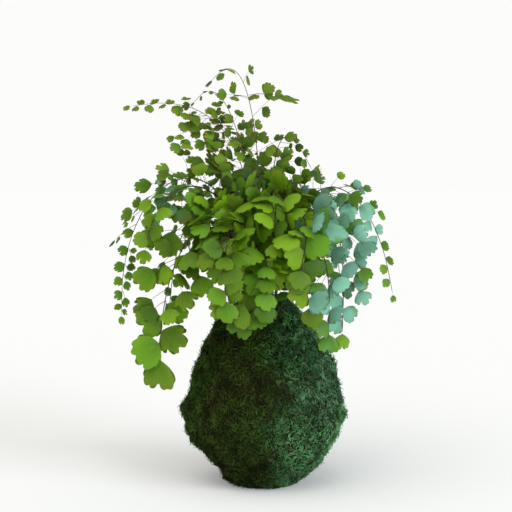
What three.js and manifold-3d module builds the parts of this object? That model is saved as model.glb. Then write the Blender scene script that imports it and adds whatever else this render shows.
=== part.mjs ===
// A kokedama: a maidenhair fern whose roots sit in a ball of soil, wrapped in sheet moss.
// Millimetres, +Z up. The origin is the centre of the small flat spot that the ball rests on.
// The front of the plant looks along -Y.

import * as THREE from "three";
import { mergeVertices } from "three/addons/utils/BufferGeometryUtils.js";
import Module from "manifold-3d";

const wasm = await Module();
wasm.setup();

// Clearances: between pieces that touch on the real plant, and between the leaves of two fronds and of one
const SEAT_GAP = 0.35;
const LEAF_GAP = 0.3;
const OWN_LEAF_GAP = 0.05;

// The moss wrap's outside, as radius and height, from the flat spot to the neck
const MOSS_OUTLINE = [
  [25, 0],
  [40.5, 13],
  [56, 35],
  [62.5, 62],
  [58, 89],
  [46, 114],
  [33, 133],
  [23, 144],
];
const MOSS_SECTORS = 26;
const MOSS_BANDS = 12;
const MOSS_THICKNESS = 9;
const MOSS_CLEAR_OF_LEAVES = 6.5;
const LIP_HEIGHT = 147;
const LIP_RADIUS = 19.5;
const NECK_HEIGHT = 145;
const NECK_RADIUS = 16.5;

// The moss's lumps, as waves round and up the ball that fade out at the flat spot and at the neck
const MOSS_WAVES = [
  { depth: 1.4, round: 2, climb: 24, start: 0.6 },
  { depth: 1.2, round: 5, climb: -13, start: 2.1 },
  { depth: 0.7, round: 8, climb: 7, start: 0 },
];
const WAVES_FULL_ABOVE = 7;
const WAVES_FULL_BELOW = 132;

// The fold where the wrap's edges are tucked under, low on the left: how deep, where and how far it spreads
const TUCK = { depth: 6.5, angle: Math.PI, height: 14, wide: 0.62, tall: 7 };

// The soil ball with its roots, and the fern's crown that sits in its top
const SOIL_TOP = 139;
const SOIL_BANDS = 5;
const CROWN_CENTRE = 140;
const CROWN_RADIUS = 14;
const CROWN_HALF_HEIGHT = 11;
const CROWN_SECTORS = 12;
const CROWN_BANDS = 6;
const CROWN_LUMPS = 4;
const CROWN_LUMP_DEPTH = 0.07;

// The fern's stalks and side branches. A branch's foot narrows to a point inside its stalk.
const STALK_FOOT = 136;
const STALK_STEPS = 11;
const STALK_RADIUS_LOW = 0.95;
const STALK_RADIUS_HIGH = 0.5;
const STALK_HOLE_GAP = 0.75;
const BRANCH_STEPS = 2;
const BRANCH_RADIUS = 0.55;
const BRANCH_FOOT = 1.3;
const STEM_SIDES = 3;
const STEM_FIRST_SIDE = new THREE.Vector3(0.31, 0.87, -0.38);

// A leaflet: its thickness, how strongly it is cupped, and the short stalk that it narrows to
const BLADE_THICKNESS = 0.6;
const BLADE_CUP = 0.25;
const BLADE_DROOP = 1.2;
const BLADE_MIDDLE = 0.55;
const BLADE_REACH = 0.62;
const PETIOLE_LENGTH = 1.2;
const PETIOLE_HALF_WIDTH = 0.4;

// Half of a leaflet's rim from its side corner to its middle: angles in degrees, shares of its length, and
// whether the point lies in a notch between two lobes. A large leaflet has three lobes and a small one two.
const LARGE_RIM = [
  { angle: 47, share: 0.72 },
  { angle: 31, share: 0.94 },
  { angle: 15, share: 0.86, notch: true },
  { angle: 0, share: 1 },
];
const SMALL_RIM = [
  { angle: 49, share: 0.74 },
  { angle: 23, share: 1 },
  { angle: 0, share: 0.84, notch: true },
];
const LARGE_LEAFLET = 15;

// Each frond: where its stalk stands on the crown, the two points that draw its arch and its tip, the way
// its leaves face, the share of it that is bare, its longest side branch, its largest leaflet, the size of
// those at its tip as a share of that, and its own random seed
const FRONDS = [
  { name: "upright_top", foot: [0.5, 2.5], rise: [-2, 3, 230], arch: [-4, 0, 366], tip: [-41, -4, 320],
    faces: [0, -0.35, 1], bare: 0.72, reach: 31, leaf: 13, ends: 0.7, seed: 11 },
  { name: "upper_chain", foot: [-2.5, -1.5], rise: [-4, 1, 230], arch: [-26, 2, 345], tip: [-55, 0, 303],
    faces: [0, -0.5, 1], bare: 0.72, reach: 14, leaf: 11, ends: 0.8, seed: 17 },
  { name: "upper_left", foot: [-3.5, 3.5], rise: [-8, 6, 240], arch: [-14, 10, 318], tip: [-106, 8, 300],
    faces: [0, -0.8, 1], bare: 0.44, reach: 36, leaf: 14, ends: 0.6, seed: 23 },
  { name: "upper_right", foot: [4, 2], rise: [6, 5, 208], arch: [0, 4, 330], tip: [38, 0, 250],
    faces: [0.2, -0.8, 1], bare: 0.5, reach: 26, leaf: 14, ends: 0.7, seed: 31 },
  { name: "left_long", foot: [-8, 1], rise: [-16, 2, 300], arch: [-118, 4, 258], tip: [-113, -4, 134],
    faces: [-0.3, -0.9, 0.8], bare: 0.34, reach: 32, leaf: 16, ends: 0.45, seed: 47 },
  { name: "left_mid", foot: [-7.5, -4], rise: [-14, -10, 262], arch: [-80, -40, 262], tip: [-90, -52, 192],
    faces: [-0.2, -1, 0.7], bare: 0.36, reach: 36, leaf: 18, ends: 0.75, seed: 53 },
  { name: "left_low", foot: [-4.5, -8], rise: [-14, -22, 232], arch: [-74, -60, 240], tip: [-80, -54, 109],
    faces: [-0.2, -1, 0.3], bare: 0.42, reach: 32, leaf: 18, ends: 1.05, seed: 61 },
  { name: "front_left", foot: [-1.5, -6], rise: [-6, -18, 236], arch: [-34, -92, 240], tip: [-28, -90, 158],
    faces: [-0.1, -1, 0.5], bare: 0.38, reach: 34, leaf: 18, ends: 0.8, seed: 71 },
  { name: "front_middle", foot: [1.5, -10], rise: [2, -26, 206], arch: [2, -84, 214], tip: [0, -82, 154],
    faces: [0.1, -1, 0.6], bare: 0.44, reach: 22, leaf: 15, ends: 0.8, seed: 79 },
  { name: "front_right", foot: [4.2, -6.2], rise: [10, -22, 232], arch: [42, -88, 246], tip: [26, -86, 178],
    faces: [0.1, -1, 0.6], bare: 0.38, reach: 34, leaf: 19, ends: 0.85, seed: 83 },
  { name: "front_high", foot: [1.5, -2.5], rise: [0, -14, 258], arch: [14, -78, 262], tip: [6, -74, 188],
    faces: [0.1, -1, 0.9], bare: 0.44, reach: 38, leaf: 18, ends: 0.8, seed: 97 },
  { name: "right_mid", foot: [7.5, -3], rise: [16, -8, 262], arch: [68, -34, 274], tip: [60, -40, 126],
    faces: [0.3, -1, 0.7], bare: 0.4, reach: 34, leaf: 18, ends: 0.8, seed: 101 },
  { name: "right_long", foot: [8.5, 2.5], rise: [16, 8, 268], arch: [86, 14, 266], tip: [103, 4, 150],
    faces: [0.3, -0.7, 1], bare: 0.42, reach: 28, leaf: 14, ends: 0.6, seed: 113 },
  { name: "right_low", foot: [7.5, -7.5], rise: [16, -20, 222], arch: [54, -72, 230], tip: [48, -66, 130],
    faces: [0.3, -1, 0.4], bare: 0.4, reach: 30, leaf: 18, ends: 0.9, seed: 127 },
  { name: "back_right", foot: [5.5, 6.5], rise: [12, 18, 244], arch: [56, 72, 276], tip: [66, 88, 150],
    faces: [0.5, 0.8, 0.8], bare: 0.44, reach: 33, leaf: 17, ends: 0.7, seed: 131 },
  { name: "back_middle", foot: [0, 9], rise: [-2, 20, 258], arch: [-8, 84, 284], tip: [-14, 98, 146],
    faces: [0, 1, 0.8], bare: 0.44, reach: 34, leaf: 17, ends: 0.7, seed: 149 },
  { name: "back_left", foot: [-6.5, 6], rise: [-14, 14, 236], arch: [-70, 60, 262], tip: [-80, 72, 128],
    faces: [-0.6, 0.8, 0.6], bare: 0.44, reach: 33, leaf: 17, ends: 0.7, seed: 157 },
];

// How a frond divides: the gap between its side branches and how much closer they stand at its tip, the
// length below which a branch is a single leaflet, and where the leaves stop short of its tip
const BRANCH_GAP = 14.5;
const BRANCH_GAP_AT_TIP = 0.6;
const BRANCH_LEAST = 13;
const BRANCH_ANGLE = 56;
const BRANCH_SAG = 0.3;
const STALK_TIP = 5;

// How leaflets stand on a stem: the gaps between them and at each end of it, as shares of a leaflet, their
// angle to it, how they sag, and how far a leaflet at a tip is sunk into it
const LEAFLET_GAP = 0.74;
const LEAFLET_GAP_ON_STALK = 0.55;
const LEAFLET_FIRST = 0.55;
const LEAFLET_LAST = 0.8;
const LEAFLET_ON_BRANCH = 0.95;
const LEAFLET_ANGLE = 64;
const LEAFLET_SAG = 0.22;
const TIP_SINK = 0.7;

// How far chance changes a branch's length, a leaflet's size and its tilt
const REACH_SPREAD = 0.3;
const SIZE_SPREAD = 0.2;
const TILT_SPREAD = 0.5;

// What a leaflet tries, in order, when something stands in its way: a turn about its own length and one
// across it, in degrees, and a share of its size. A branch tries turns about its stalk.
const LEAFLET_TRIES = [
  { roll: 0, pitch: 0, size: 1 },
  { roll: 0, pitch: 16, size: 1 },
  { roll: 0, pitch: -18, size: 1 },
  { roll: 24, pitch: 8, size: 0.96 },
  { roll: -24, pitch: 8, size: 0.96 },
  { roll: 38, pitch: -22, size: 0.9 },
  { roll: -38, pitch: -22, size: 0.9 },
  { roll: 0, pitch: 36, size: 0.86 },
  { roll: 0, pitch: -40, size: 0.86 },
  { roll: 55, pitch: 20, size: 0.8 },
  { roll: -55, pitch: 20, size: 0.8 },
  { roll: 0, pitch: 0, size: 0.66 },
  { roll: 30, pitch: 30, size: 0.62 },
  { roll: -30, pitch: 30, size: 0.62 },
];
const BRANCH_TRIES = [0, 18, -18, 36, -36, 55, -55];

const DEGREE = Math.PI / 180;
const UP = new THREE.Vector3(0, 0, 1);
const { clamp, lerp, smoothstep } = THREE.MathUtils;

// A generator of even random numbers from 0 to 1, the same for the same seed
function randomFrom(seed) {
  let state = seed;
  const draw = () => {
    state = (Math.imul(state, 1664525) + 1013904223) >>> 0;
    return state / 4294967296;
  };
  for (let warm = 0; warm < 4; warm++) draw();
  return draw;
}

// A closed geometry as a solid: vertices merged, flat triangles at the poles dropped
function solidOf(geometry) {
  geometry.deleteAttribute("normal");
  geometry.deleteAttribute("uv");
  const merged = mergeVertices(geometry, 1e-4);
  const index = merged.index.array;
  const kept = [];
  for (let i = 0; i < index.length; i += 3) {
    const [a, b, c] = index.slice(i, i + 3);
    if (a !== b && b !== c && a !== c) kept.push(a, b, c);
  }
  return new wasm.Manifold(
    new wasm.Mesh({
      numProp: 3,
      vertProperties: new Float32Array(merged.getAttribute("position").array),
      triVerts: new Uint32Array(kept),
    }),
  );
}

function solidFrom(points, triangles) {
  const geometry = new THREE.BufferGeometry().setFromPoints(points);
  geometry.setIndex(triangles);
  return solidOf(geometry);
}

function geometryOf(solid) {
  const mesh = solid.getMesh();
  const geometry = new THREE.BufferGeometry();
  geometry.setAttribute("position", new THREE.BufferAttribute(mesh.vertProperties, 3));
  geometry.setIndex(new THREE.BufferAttribute(mesh.triVerts, 1));
  geometry.computeVertexNormals();
  return geometry;
}

// Moves each vertex of a geometry to where the given function of its position puts it
function reshape(geometry, moved) {
  const position = geometry.getAttribute("position");
  const point = new THREE.Vector3();
  for (let i = 0; i < position.count; i++) {
    point.fromBufferAttribute(position, i);
    moved(point);
    position.setXYZ(i, point.x, point.y, point.z);
  }
  return geometry;
}

const lathe = (profile, sectors) => new THREE.LatheGeometry(profile, sectors).rotateX(Math.PI / 2);

// The moss wrap's outline as a smooth curve of radius and height
const mossCurve = new THREE.SplineCurve(MOSS_OUTLINE.map((p) => new THREE.Vector2(...p)));
const mossOutside = mossCurve.getPoints(MOSS_BANDS);

// The wrap's radius at a height, without its lumps
function mossRadius(height) {
  const above = mossOutside.findIndex((p, i) => i > 0 && (p.y >= height || i === MOSS_BANDS));
  const [low, high] = [mossOutside[above - 1], mossOutside[above]];
  return lerp(low.x, high.x, (height - low.y) / (high.y - low.y));
}

// How far the moss stands out from its plain outline: its waves less its tuck
function mossRelief(angle, height) {
  const fade =
    smoothstep(height, 0, WAVES_FULL_ABOVE) * (1 - smoothstep(height, WAVES_FULL_BELOW, LIP_HEIGHT));
  const waves = MOSS_WAVES.reduce(
    (sum, { depth, round, climb, start }) => sum + depth * Math.sin(round * angle + height / climb + start),
    0,
  );
  const turn = angle - TUCK.angle;
  const aside = Math.atan2(Math.sin(turn), Math.cos(turn)) / TUCK.wide;
  const above = (height - TUCK.height) / TUCK.tall;
  return fade * (waves - TUCK.depth * Math.exp(-aside * aside - above * above));
}

function mossWrap() {
  const lip = [new THREE.Vector2(LIP_RADIUS, LIP_HEIGHT), new THREE.Vector2(NECK_RADIUS, NECK_HEIGHT)];
  const inside = soilOutline(0).reverse();
  const geometry = lathe([new THREE.Vector2(0, 0), ...mossOutside, ...lip, ...inside], MOSS_SECTORS);
  const outermost = MOSS_THICKNESS / 2;
  return solidOf(
    reshape(geometry, (point) => {
      const radius = Math.hypot(point.x, point.y);
      if (radius < mossRadius(point.z) - outermost) return;
      const share = 1 + mossRelief(Math.atan2(point.y, point.x), point.z) / radius;
      point.set(point.x * share, point.y * share, point.z);
    }),
  );
}

// The outline of the soil ball, drawn in from the wrap's outside by its thickness and by a gap
function soilOutline(gap) {
  const foot = MOSS_THICKNESS + gap;
  const points = [new THREE.Vector2(0, foot)];
  for (let band = 0; band <= SOIL_BANDS; band++) {
    const height = lerp(foot, SOIL_TOP, band / SOIL_BANDS);
    const radius = Math.max(mossRadius(height) - MOSS_THICKNESS, NECK_RADIUS) - gap;
    points.push(new THREE.Vector2(radius, height));
  }
  return points;
}

function soilBall() {
  const ball = lathe([...soilOutline(SEAT_GAP), new THREE.Vector2(0, SOIL_TOP)], MOSS_SECTORS);
  return solidOf(ball).subtract(crownMound(SEAT_GAP));
}

// The crown: a low lumpy mound, larger by a margin where it cuts its own seat in the soil
function crownMound(margin) {
  const sphere = new THREE.SphereGeometry(1, CROWN_SECTORS, CROWN_BANDS).rotateX(Math.PI / 2);
  return solidOf(
    reshape(sphere, (point) => {
      const lump = CROWN_LUMP_DEPTH * Math.sin(CROWN_LUMPS * Math.atan2(point.y, point.x));
      const radius = CROWN_RADIUS * (1 + lump * (1 - point.z ** 2)) + margin;
      point.multiply(new THREE.Vector3(radius, radius, CROWN_HALF_HEIGHT + margin));
      point.z += CROWN_CENTRE;
    }),
  );
}

function fernCrown(stalks) {
  let crown = crownMound(0);
  for (const stalk of stalks) {
    const foot = stalk[0].clone().lerp(stalk[1], -SEAT_GAP / stalk[0].distanceTo(stalk[1]));
    crown = crown.subtract(tube([foot, ...stalk.slice(1)], stalkRadii(STALK_HOLE_GAP)));
  }
  return crown;
}

// A tube along a polyline with a radius at each point, its section turned as little as it can be
function tube(points, radii) {
  const last = points.length - 1;
  const side = STEM_FIRST_SIDE.clone();
  const rings = points.flatMap((point, i) => {
    const along = points[Math.min(i + 1, last)].clone().sub(points[Math.max(i - 1, 0)]).normalize();
    side.copy(squareTo(side, along));
    const across = along.clone().cross(side);
    return Array.from({ length: STEM_SIDES }, (_, corner) => {
      const angle = (corner / STEM_SIDES) * 2 * Math.PI;
      return point
        .clone()
        .addScaledVector(side, radii[i] * Math.cos(angle))
        .addScaledVector(across, radii[i] * Math.sin(angle));
    });
  });
  const end = last * STEM_SIDES;
  const triangles = [];
  for (let i = 0; i < end; i++) {
    const next = (i + 1) % STEM_SIDES === 0 ? i + 1 - STEM_SIDES : i + 1;
    triangles.push(i, next, i + STEM_SIDES, next, next + STEM_SIDES, i + STEM_SIDES);
  }
  for (let i = 1; i < STEM_SIDES - 1; i++) triangles.push(0, i + 1, i, end, end + i, end + i + 1);
  return solidFrom(rings, triangles);
}

// The part of a direction that stands square to another, at unit length
function squareTo(direction, along) {
  return direction.clone().addScaledVector(along, -direction.dot(along)).normalize();
}

function lengthOf(points) {
  return points.slice(1).reduce((sum, point, i) => sum + point.distanceTo(points[i]), 0);
}

// The point and direction at a distance along a polyline
function placeAlong(points, distance) {
  let left = distance;
  let i = 1;
  while (i < points.length - 1 && left > points[i].distanceTo(points[i - 1])) {
    left -= points[i].distanceTo(points[i - 1]);
    i++;
  }
  const along = points[i].clone().sub(points[i - 1]).normalize();
  return { point: points[i - 1].clone().addScaledVector(along, left), along };
}

// The direction that leaves a stem to one side at an angle, in the plane that the given normal faces
function headingFrom(along, normal, side, angle) {
  const outward = normal.clone().cross(along).multiplyScalar(side);
  return along
    .clone()
    .multiplyScalar(Math.cos(angle * DEGREE))
    .addScaledVector(outward, Math.sin(angle * DEGREE));
}

// The nearest distance between two straight stretches
function stretchDistance(startA, endA, startB, endB) {
  const [u, v, w] = [endA.clone().sub(startA), endB.clone().sub(startB), startA.clone().sub(startB)];
  const [uu, uv, vv, uw, vw] = [u.dot(u), u.dot(v), v.dot(v), u.dot(w), v.dot(w)];
  const skew = uu * vv - uv * uv;
  const first = skew > 0 ? clamp((uv * vw - vv * uw) / skew, 0, 1) : 0;
  const onB = clamp((uv * first + vw) / vv, 0, 1);
  const onA = clamp((uv * onB - uw) / uu, 0, 1);
  return w.addScaledVector(u, onA).addScaledVector(v, -onB).length();
}

// A leaflet's height above its own flat plane: arched along its length and drooping to its sides
function bladeHeight(x, y, size) {
  const [along, aside] = [x / size, y / size];
  return BLADE_CUP * size * (0.5 * (along - along ** 2) - BLADE_DROOP * aside ** 2);
}

// A leaflet's outline in its own plane, and the walls of the plain shape that holds it, its notches filled
function bladeOutline(size) {
  const half = size < LARGE_LEAFLET ? SMALL_RIM : LARGE_RIM;
  const whole = [...half.map((p) => ({ ...p, angle: -p.angle })), ...half.slice(0, -1).reverse()];
  const rim = whole.map(({ angle, share, notch }) => ({
    x: Math.cos(angle * DEGREE) * share * size,
    y: Math.sin(angle * DEGREE) * share * size,
    notch,
  }));
  const neck = { x: PETIOLE_LENGTH, y: PETIOLE_HALF_WIDTH };
  const hull = [{ x: 0, y: 0 }, ...rim.filter(({ notch }) => !notch)];
  const walls = hull.map(({ x, y }, i) => {
    const next = hull[(i + 1) % hull.length];
    const length = Math.hypot(next.x - x, next.y - y);
    const [outX, outY] = [(next.y - y) / length, (x - next.x) / length];
    return { outX, outY, reach: outX * x + outY * y };
  });
  return { outline: [{ x: neck.x, y: -neck.y }, ...rim, neck], walls };
}

// A leaflet from its foot, the way it points, the way it faces and its size, then turned across and about it
function bladeOf(foot, along, normal, size, { roll, pitch }) {
  const across = normal.clone().cross(along).normalize();
  const lengthwise = along.clone().applyAxisAngle(across, -pitch * DEGREE);
  const face = lengthwise.clone().cross(across).applyAxisAngle(lengthwise, roll * DEGREE);
  const sideways = face.clone().cross(lengthwise);
  const { outline, walls } = bladeOutline(size);
  const corners = outline.map(({ x, y }) =>
    foot
      .clone()
      .addScaledVector(lengthwise, x)
      .addScaledVector(sideways, y)
      .addScaledVector(face, bladeHeight(x, y, size)),
  );
  const loop = [foot, ...corners];
  const edges = loop.map((corner, i) => [corner, loop[(i + 1) % loop.length]]);
  edges.push([foot, corners[(corners.length - 1) / 2]]);
  const heights = outline.map(({ x, y }) => bladeHeight(x, y, size));
  const middle = foot.clone().addScaledVector(lengthwise, size * BLADE_MIDDLE);
  const [highest, lowest] = [bladeHeight(size / 2, 0, size), Math.min(...heights)];
  return { foot, lengthwise, sideways, face, size, walls, corners, edges, middle, highest, lowest };
}

// Whether a straight stretch comes within a margin of a leaflet, taken as a thin slab with plain walls
function stretchMeetsBlade([start, end], blade, margin) {
  const local = (point) => {
    const from = point.clone().sub(blade.foot);
    return [from.dot(blade.lengthwise), from.dot(blade.sideways), from.dot(blade.face)];
  };
  const [[x0, y0, z0], [x1, y1, z1]] = [local(start), local(end)];
  let [enter, leave] = [0, 1];
  const cut = (outside0, outside1) => {
    if (outside0 > 0 && outside1 > 0) enter = 2;
    else if (outside0 > 0) enter = Math.max(enter, outside0 / (outside0 - outside1));
    else if (outside1 > 0) leave = Math.min(leave, outside0 / (outside0 - outside1));
  };
  cut(z0 - blade.highest - margin, z1 - blade.highest - margin);
  cut(blade.lowest - z0 - margin, blade.lowest - z1 - margin);
  for (const { outX, outY, reach } of blade.walls)
    cut(outX * x0 + outY * y0 - reach - margin, outX * x1 + outY * y1 - reach - margin);
  return enter <= leave;
}

function bladesMeet(one, other, margin) {
  if (one.middle.distanceTo(other.middle) > BLADE_REACH * (one.size + other.size) + margin) return false;
  return (
    one.edges.some((edge) => stretchMeetsBlade(edge, other, margin)) ||
    other.edges.some((edge) => stretchMeetsBlade(edge, one, margin))
  );
}

// Whether a point is clear of the moss, with its pile
function clearOfMoss(point) {
  const radius = Math.hypot(point.x, point.y);
  return point.z > LIP_HEIGHT || (point.z > 0 && radius > mossRadius(point.z) + MOSS_CLEAR_OF_LEAVES);
}

// Where things stand already, so that what grows later stays clear of them
const standing = { stretches: [], blades: [] };

function noteStem(points, radius, frond, stem) {
  for (let i = 1; i < points.length; i++)
    standing.stretches.push({ ends: [points[i - 1], points[i]], radius, frond, stem });
}

// A leaflet keeps a full gap to other fronds and a small one to the rest of its own, but may touch its stem
function bladeIsClear(blade, frond, stem) {
  return (
    blade.corners.every(clearOfMoss) &&
    !standing.blades.some((other) => {
      const gap = other.frond === frond ? OWN_LEAF_GAP : LEAF_GAP;
      return bladesMeet(blade, other.blade, BLADE_THICKNESS + gap);
    }) &&
    !standing.stretches.some((other) => {
      const gap = other.radius + BLADE_THICKNESS / 2 + (other.frond === frond ? 0 : LEAF_GAP);
      return other.stem !== stem && stretchMeetsBlade(other.ends, blade, gap);
    })
  );
}

// A branch keeps a full gap to other fronds and crosses no leaflet of its own
function branchIsClear(points, frond) {
  const stretches = points.slice(1).map((point, i) => [points[i], point]);
  return (
    points.slice(1).every(clearOfMoss) &&
    !stretches.some(
      (ends) =>
        standing.stretches.some((other) => {
          const gap = BRANCH_RADIUS + other.radius + LEAF_GAP;
          return other.frond !== frond && stretchDistance(...ends, ...other.ends) < gap;
        }) ||
        standing.blades.some((other) => {
          const gap = other.frond === frond ? 0 : LEAF_GAP;
          return stretchMeetsBlade(ends, other.blade, BRANCH_RADIUS + BLADE_THICKNESS / 2 + gap);
        }),
    )
  );
}

// A frond's main stalk, a cubic arch from its foot in the crown to its tip
function stalkPoints(frond) {
  const foot = new THREE.Vector3(...frond.foot, STALK_FOOT);
  const [rise, arch, tip] = [frond.rise, frond.arch, frond.tip].map((p) => new THREE.Vector3(...p));
  return new THREE.CubicBezierCurve3(foot, rise, arch, tip).getPoints(STALK_STEPS);
}

// The stalk's radius at each of its points, tapering to its tip, larger by a margin for the hole it is in
function stalkRadii(margin) {
  return Array.from(
    { length: STALK_STEPS + 1 },
    (_, i) => lerp(STALK_RADIUS_LOW, STALK_RADIUS_HIGH, i / STALK_STEPS) + margin,
  );
}

// A side branch: it leaves the stalk in the frond's plane, or turned out of it by a lift, and then sags
function branchPoints({ point, along }, normal, side, length, lift) {
  const turned = normal.clone().applyAxisAngle(along, side * lift * DEGREE);
  const heading = headingFrom(along, turned, side, BRANCH_ANGLE);
  const points = [point, point.clone().addScaledVector(heading, BRANCH_FOOT)];
  for (let step = 1; step <= BRANCH_STEPS; step++) {
    heading.addScaledVector(UP, -BRANCH_SAG / BRANCH_STEPS).normalize();
    points.push(points[step].clone().addScaledVector(heading, (length - BRANCH_FOOT) / BRANCH_STEPS));
  }
  return points;
}

// Stands a leaflet at a foot the first way that finds room. Chance is drawn whether or not one does.
function growLeaflet(frond, stem, foot, along, normal, size, random) {
  const sagged = along.clone().addScaledVector(UP, -LEAFLET_SAG).normalize();
  const tilt = new THREE.Vector3(random() - 0.5, random() - 0.5, random() - 0.5).multiplyScalar(TILT_SPREAD);
  const wanted = size * (1 + SIZE_SPREAD * (random() - 0.5));
  const face = squareTo(normal.clone().add(tilt), sagged);
  const blades = LEAFLET_TRIES.map((turned) => bladeOf(foot, sagged, face, wanted * turned.size, turned));
  const blade = blades.find((candidate) => bladeIsClear(candidate, frond.name, stem));
  if (blade) standing.blades.push({ blade, frond: frond.name });
  return blade ? [blade] : [];
}

// A leaflet at a stem's tip, sunk into it
function growTipLeaflet(frond, stem, points, facing, size, random) {
  const { point, along } = placeAlong(points, lengthOf(points) - TIP_SINK);
  return growLeaflet(frond, stem, point, along, squareTo(facing, along), size, random);
}

// A leaflet to one side of a stem
function growSideLeaflet(frond, stem, { point, along }, facing, side, size, random) {
  const normal = squareTo(facing, along);
  const heading = headingFrom(along, normal, side, LEAFLET_ANGLE);
  return growLeaflet(frond, stem, point, heading, normal, size, random);
}

// The leaflets of a branch: one at its tip, then the others on alternate sides back to its foot
function growLeaflets(frond, stem, points, normal, size, random) {
  let side = random() < 0.5 ? -1 : 1;
  const blades = growTipLeaflet(frond, stem, points, normal, size, random);
  const last = lengthOf(points) - LEAFLET_LAST * LEAFLET_GAP * size;
  for (let distance = last; distance > LEAFLET_FIRST * size; distance -= LEAFLET_GAP * size) {
    blades.push(...growSideLeaflet(frond, stem, placeAlong(points, distance), normal, side, size, random));
    side = -side;
  }
  return blades;
}

// A whole frond: its stalk, then its side branches from the lowest up, near its tip as single leaflets
function growFrond(frond, stalk) {
  const random = randomFrom(frond.seed);
  const length = lengthOf(stalk);
  const facing = new THREE.Vector3(...frond.faces);
  const stems = [{ points: stalk, radii: stalkRadii(0) }];
  const blades = growTipLeaflet(frond, frond.name, stalk, facing, frond.leaf * frond.ends, random);
  let side = random() < 0.5 ? -1 : 1;
  let distance = length * frond.bare;
  while (distance < length - STALK_TIP) {
    const share = (distance / length - frond.bare) / (1 - frond.bare);
    const size = frond.leaf * (1 - (1 - frond.ends) * share ** 2);
    const reach = frond.reach * (1 - share) * (1 + REACH_SPREAD * (random() - 0.5));
    const place = placeAlong(stalk, distance);
    if (reach > BRANCH_LEAST) {
      const normal = squareTo(facing, place.along);
      const stem = frond.name + distance;
      const paths = BRANCH_TRIES.map((lift) => branchPoints(place, normal, side, reach, lift));
      const points = paths.find((path) => branchIsClear(path, frond.name));
      if (points) {
        noteStem(points, BRANCH_RADIUS, frond.name, stem);
        stems.push({ points, radii: points.map((_, i) => (i === 0 ? 0 : BRANCH_RADIUS)) });
        blades.push(...growLeaflets(frond, stem, points, normal, size * LEAFLET_ON_BRANCH, random));
      }
      distance += BRANCH_GAP * lerp(1, BRANCH_GAP_AT_TIP, share);
    } else {
      blades.push(...growSideLeaflet(frond, frond.name, place, facing, side, size, random));
      distance += LEAFLET_GAP_ON_STALK * size;
    }
    side = -side;
  }
  return { stems, blades };
}

// A leaflet as a thin closed blade, both faces split alike into a fan, with a stalk that ends in a point
function bladeSolid({ foot, corners, face }) {
  const count = corners.length;
  const raised = (way) => corners.map((p) => p.clone().addScaledVector(face, (way * BLADE_THICKNESS) / 2));
  const points = [...raised(1), ...raised(-1), foot];
  const [last, tip] = [count - 1, 2 * count];
  const triangles = [tip, 0, last, tip, count + last, count, tip, count, 0, tip, last, count + last];
  for (let i = 1; i < last; i++) triangles.push(0, i, i + 1, count, count + i + 1, count + i);
  for (let i = 0; i < last; i++) triangles.push(i, count + i, i + 1, i + 1, count + i, count + i + 1);
  return solidFrom(points, triangles);
}

function frondSolid({ stems, blades }) {
  const [stalk, ...branches] = stems.map(({ points, radii }) => tube(points, radii));
  return [...branches, ...blades.map(bladeSolid)].reduce((whole, piece) => whole.add(piece), stalk);
}

const finish = (color, roughness) => new THREE.MeshStandardMaterial({ color, roughness, metalness: 0 });
const mossGreen = finish(0x24401c, 0.95);
const soilBrown = finish(0x2b1d12, 0.98);
const crownBrown = finish(0x3a2414, 0.9);
const leafGreen = finish(0x4f7a1a, 0.6);

const kokedama = new THREE.Group();

function addPiece(name, solid, material) {
  const mesh = new THREE.Mesh(geometryOf(solid), material);
  mesh.name = name;
  kokedama.add(mesh);
}

const stalks = FRONDS.map(stalkPoints);
stalks.forEach((stalk, i) => noteStem(stalk, STALK_RADIUS_LOW, FRONDS[i].name, FRONDS[i].name));
addPiece("moss_wrap", mossWrap(), mossGreen);
addPiece("soil_ball", soilBall(), soilBrown);
addPiece("fern_crown", fernCrown(stalks), crownBrown);
FRONDS.forEach((frond, i) => {
  addPiece("frond_" + frond.name, frondSolid(growFrond(frond, stalks[i])), leafGreen);
});

export default kokedama;
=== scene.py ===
"""A moss ball with a maidenhair fern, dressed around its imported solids.

The fern grows here by the same rule as its solids, so every leaflet stays where its solid blade is. It then
gets finer leaflets in its gaps. Sizes are millimetres until a mesh is written. The front looks along -Y.
"""

from __future__ import annotations

import logging
import math
from dataclasses import dataclass, field
from enum import Enum

import bpy
import numpy as np
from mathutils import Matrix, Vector

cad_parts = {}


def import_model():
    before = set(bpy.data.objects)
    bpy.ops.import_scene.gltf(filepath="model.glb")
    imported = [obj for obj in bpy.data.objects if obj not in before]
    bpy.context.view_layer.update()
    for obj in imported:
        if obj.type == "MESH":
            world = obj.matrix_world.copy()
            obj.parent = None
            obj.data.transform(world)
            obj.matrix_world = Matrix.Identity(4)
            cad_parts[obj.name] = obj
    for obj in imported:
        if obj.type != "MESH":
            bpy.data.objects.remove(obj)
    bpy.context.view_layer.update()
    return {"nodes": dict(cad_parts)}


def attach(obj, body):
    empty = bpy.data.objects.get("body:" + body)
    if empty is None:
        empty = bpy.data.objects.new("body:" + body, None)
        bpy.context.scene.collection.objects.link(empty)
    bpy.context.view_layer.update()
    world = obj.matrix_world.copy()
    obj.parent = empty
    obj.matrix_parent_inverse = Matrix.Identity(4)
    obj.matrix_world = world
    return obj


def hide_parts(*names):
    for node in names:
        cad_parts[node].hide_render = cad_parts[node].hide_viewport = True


logging.basicConfig(level=logging.INFO, format="%(message)s")
log = logging.getLogger("moss_ball_fern")

MM = 0.001
UP = np.array([0.0, 0.0, 1.0])
SLANTED = np.array([0.31, 0.87, -0.38])
Array = np.ndarray
Pair = tuple[float, float]
Triple = tuple[float, float, float]
Colour = tuple[float, float, float, float]
Material = bpy.types.Material
Socket = bpy.types.NodeSocket
Tree = bpy.types.NodeTree
Piece = bpy.types.Object


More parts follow.
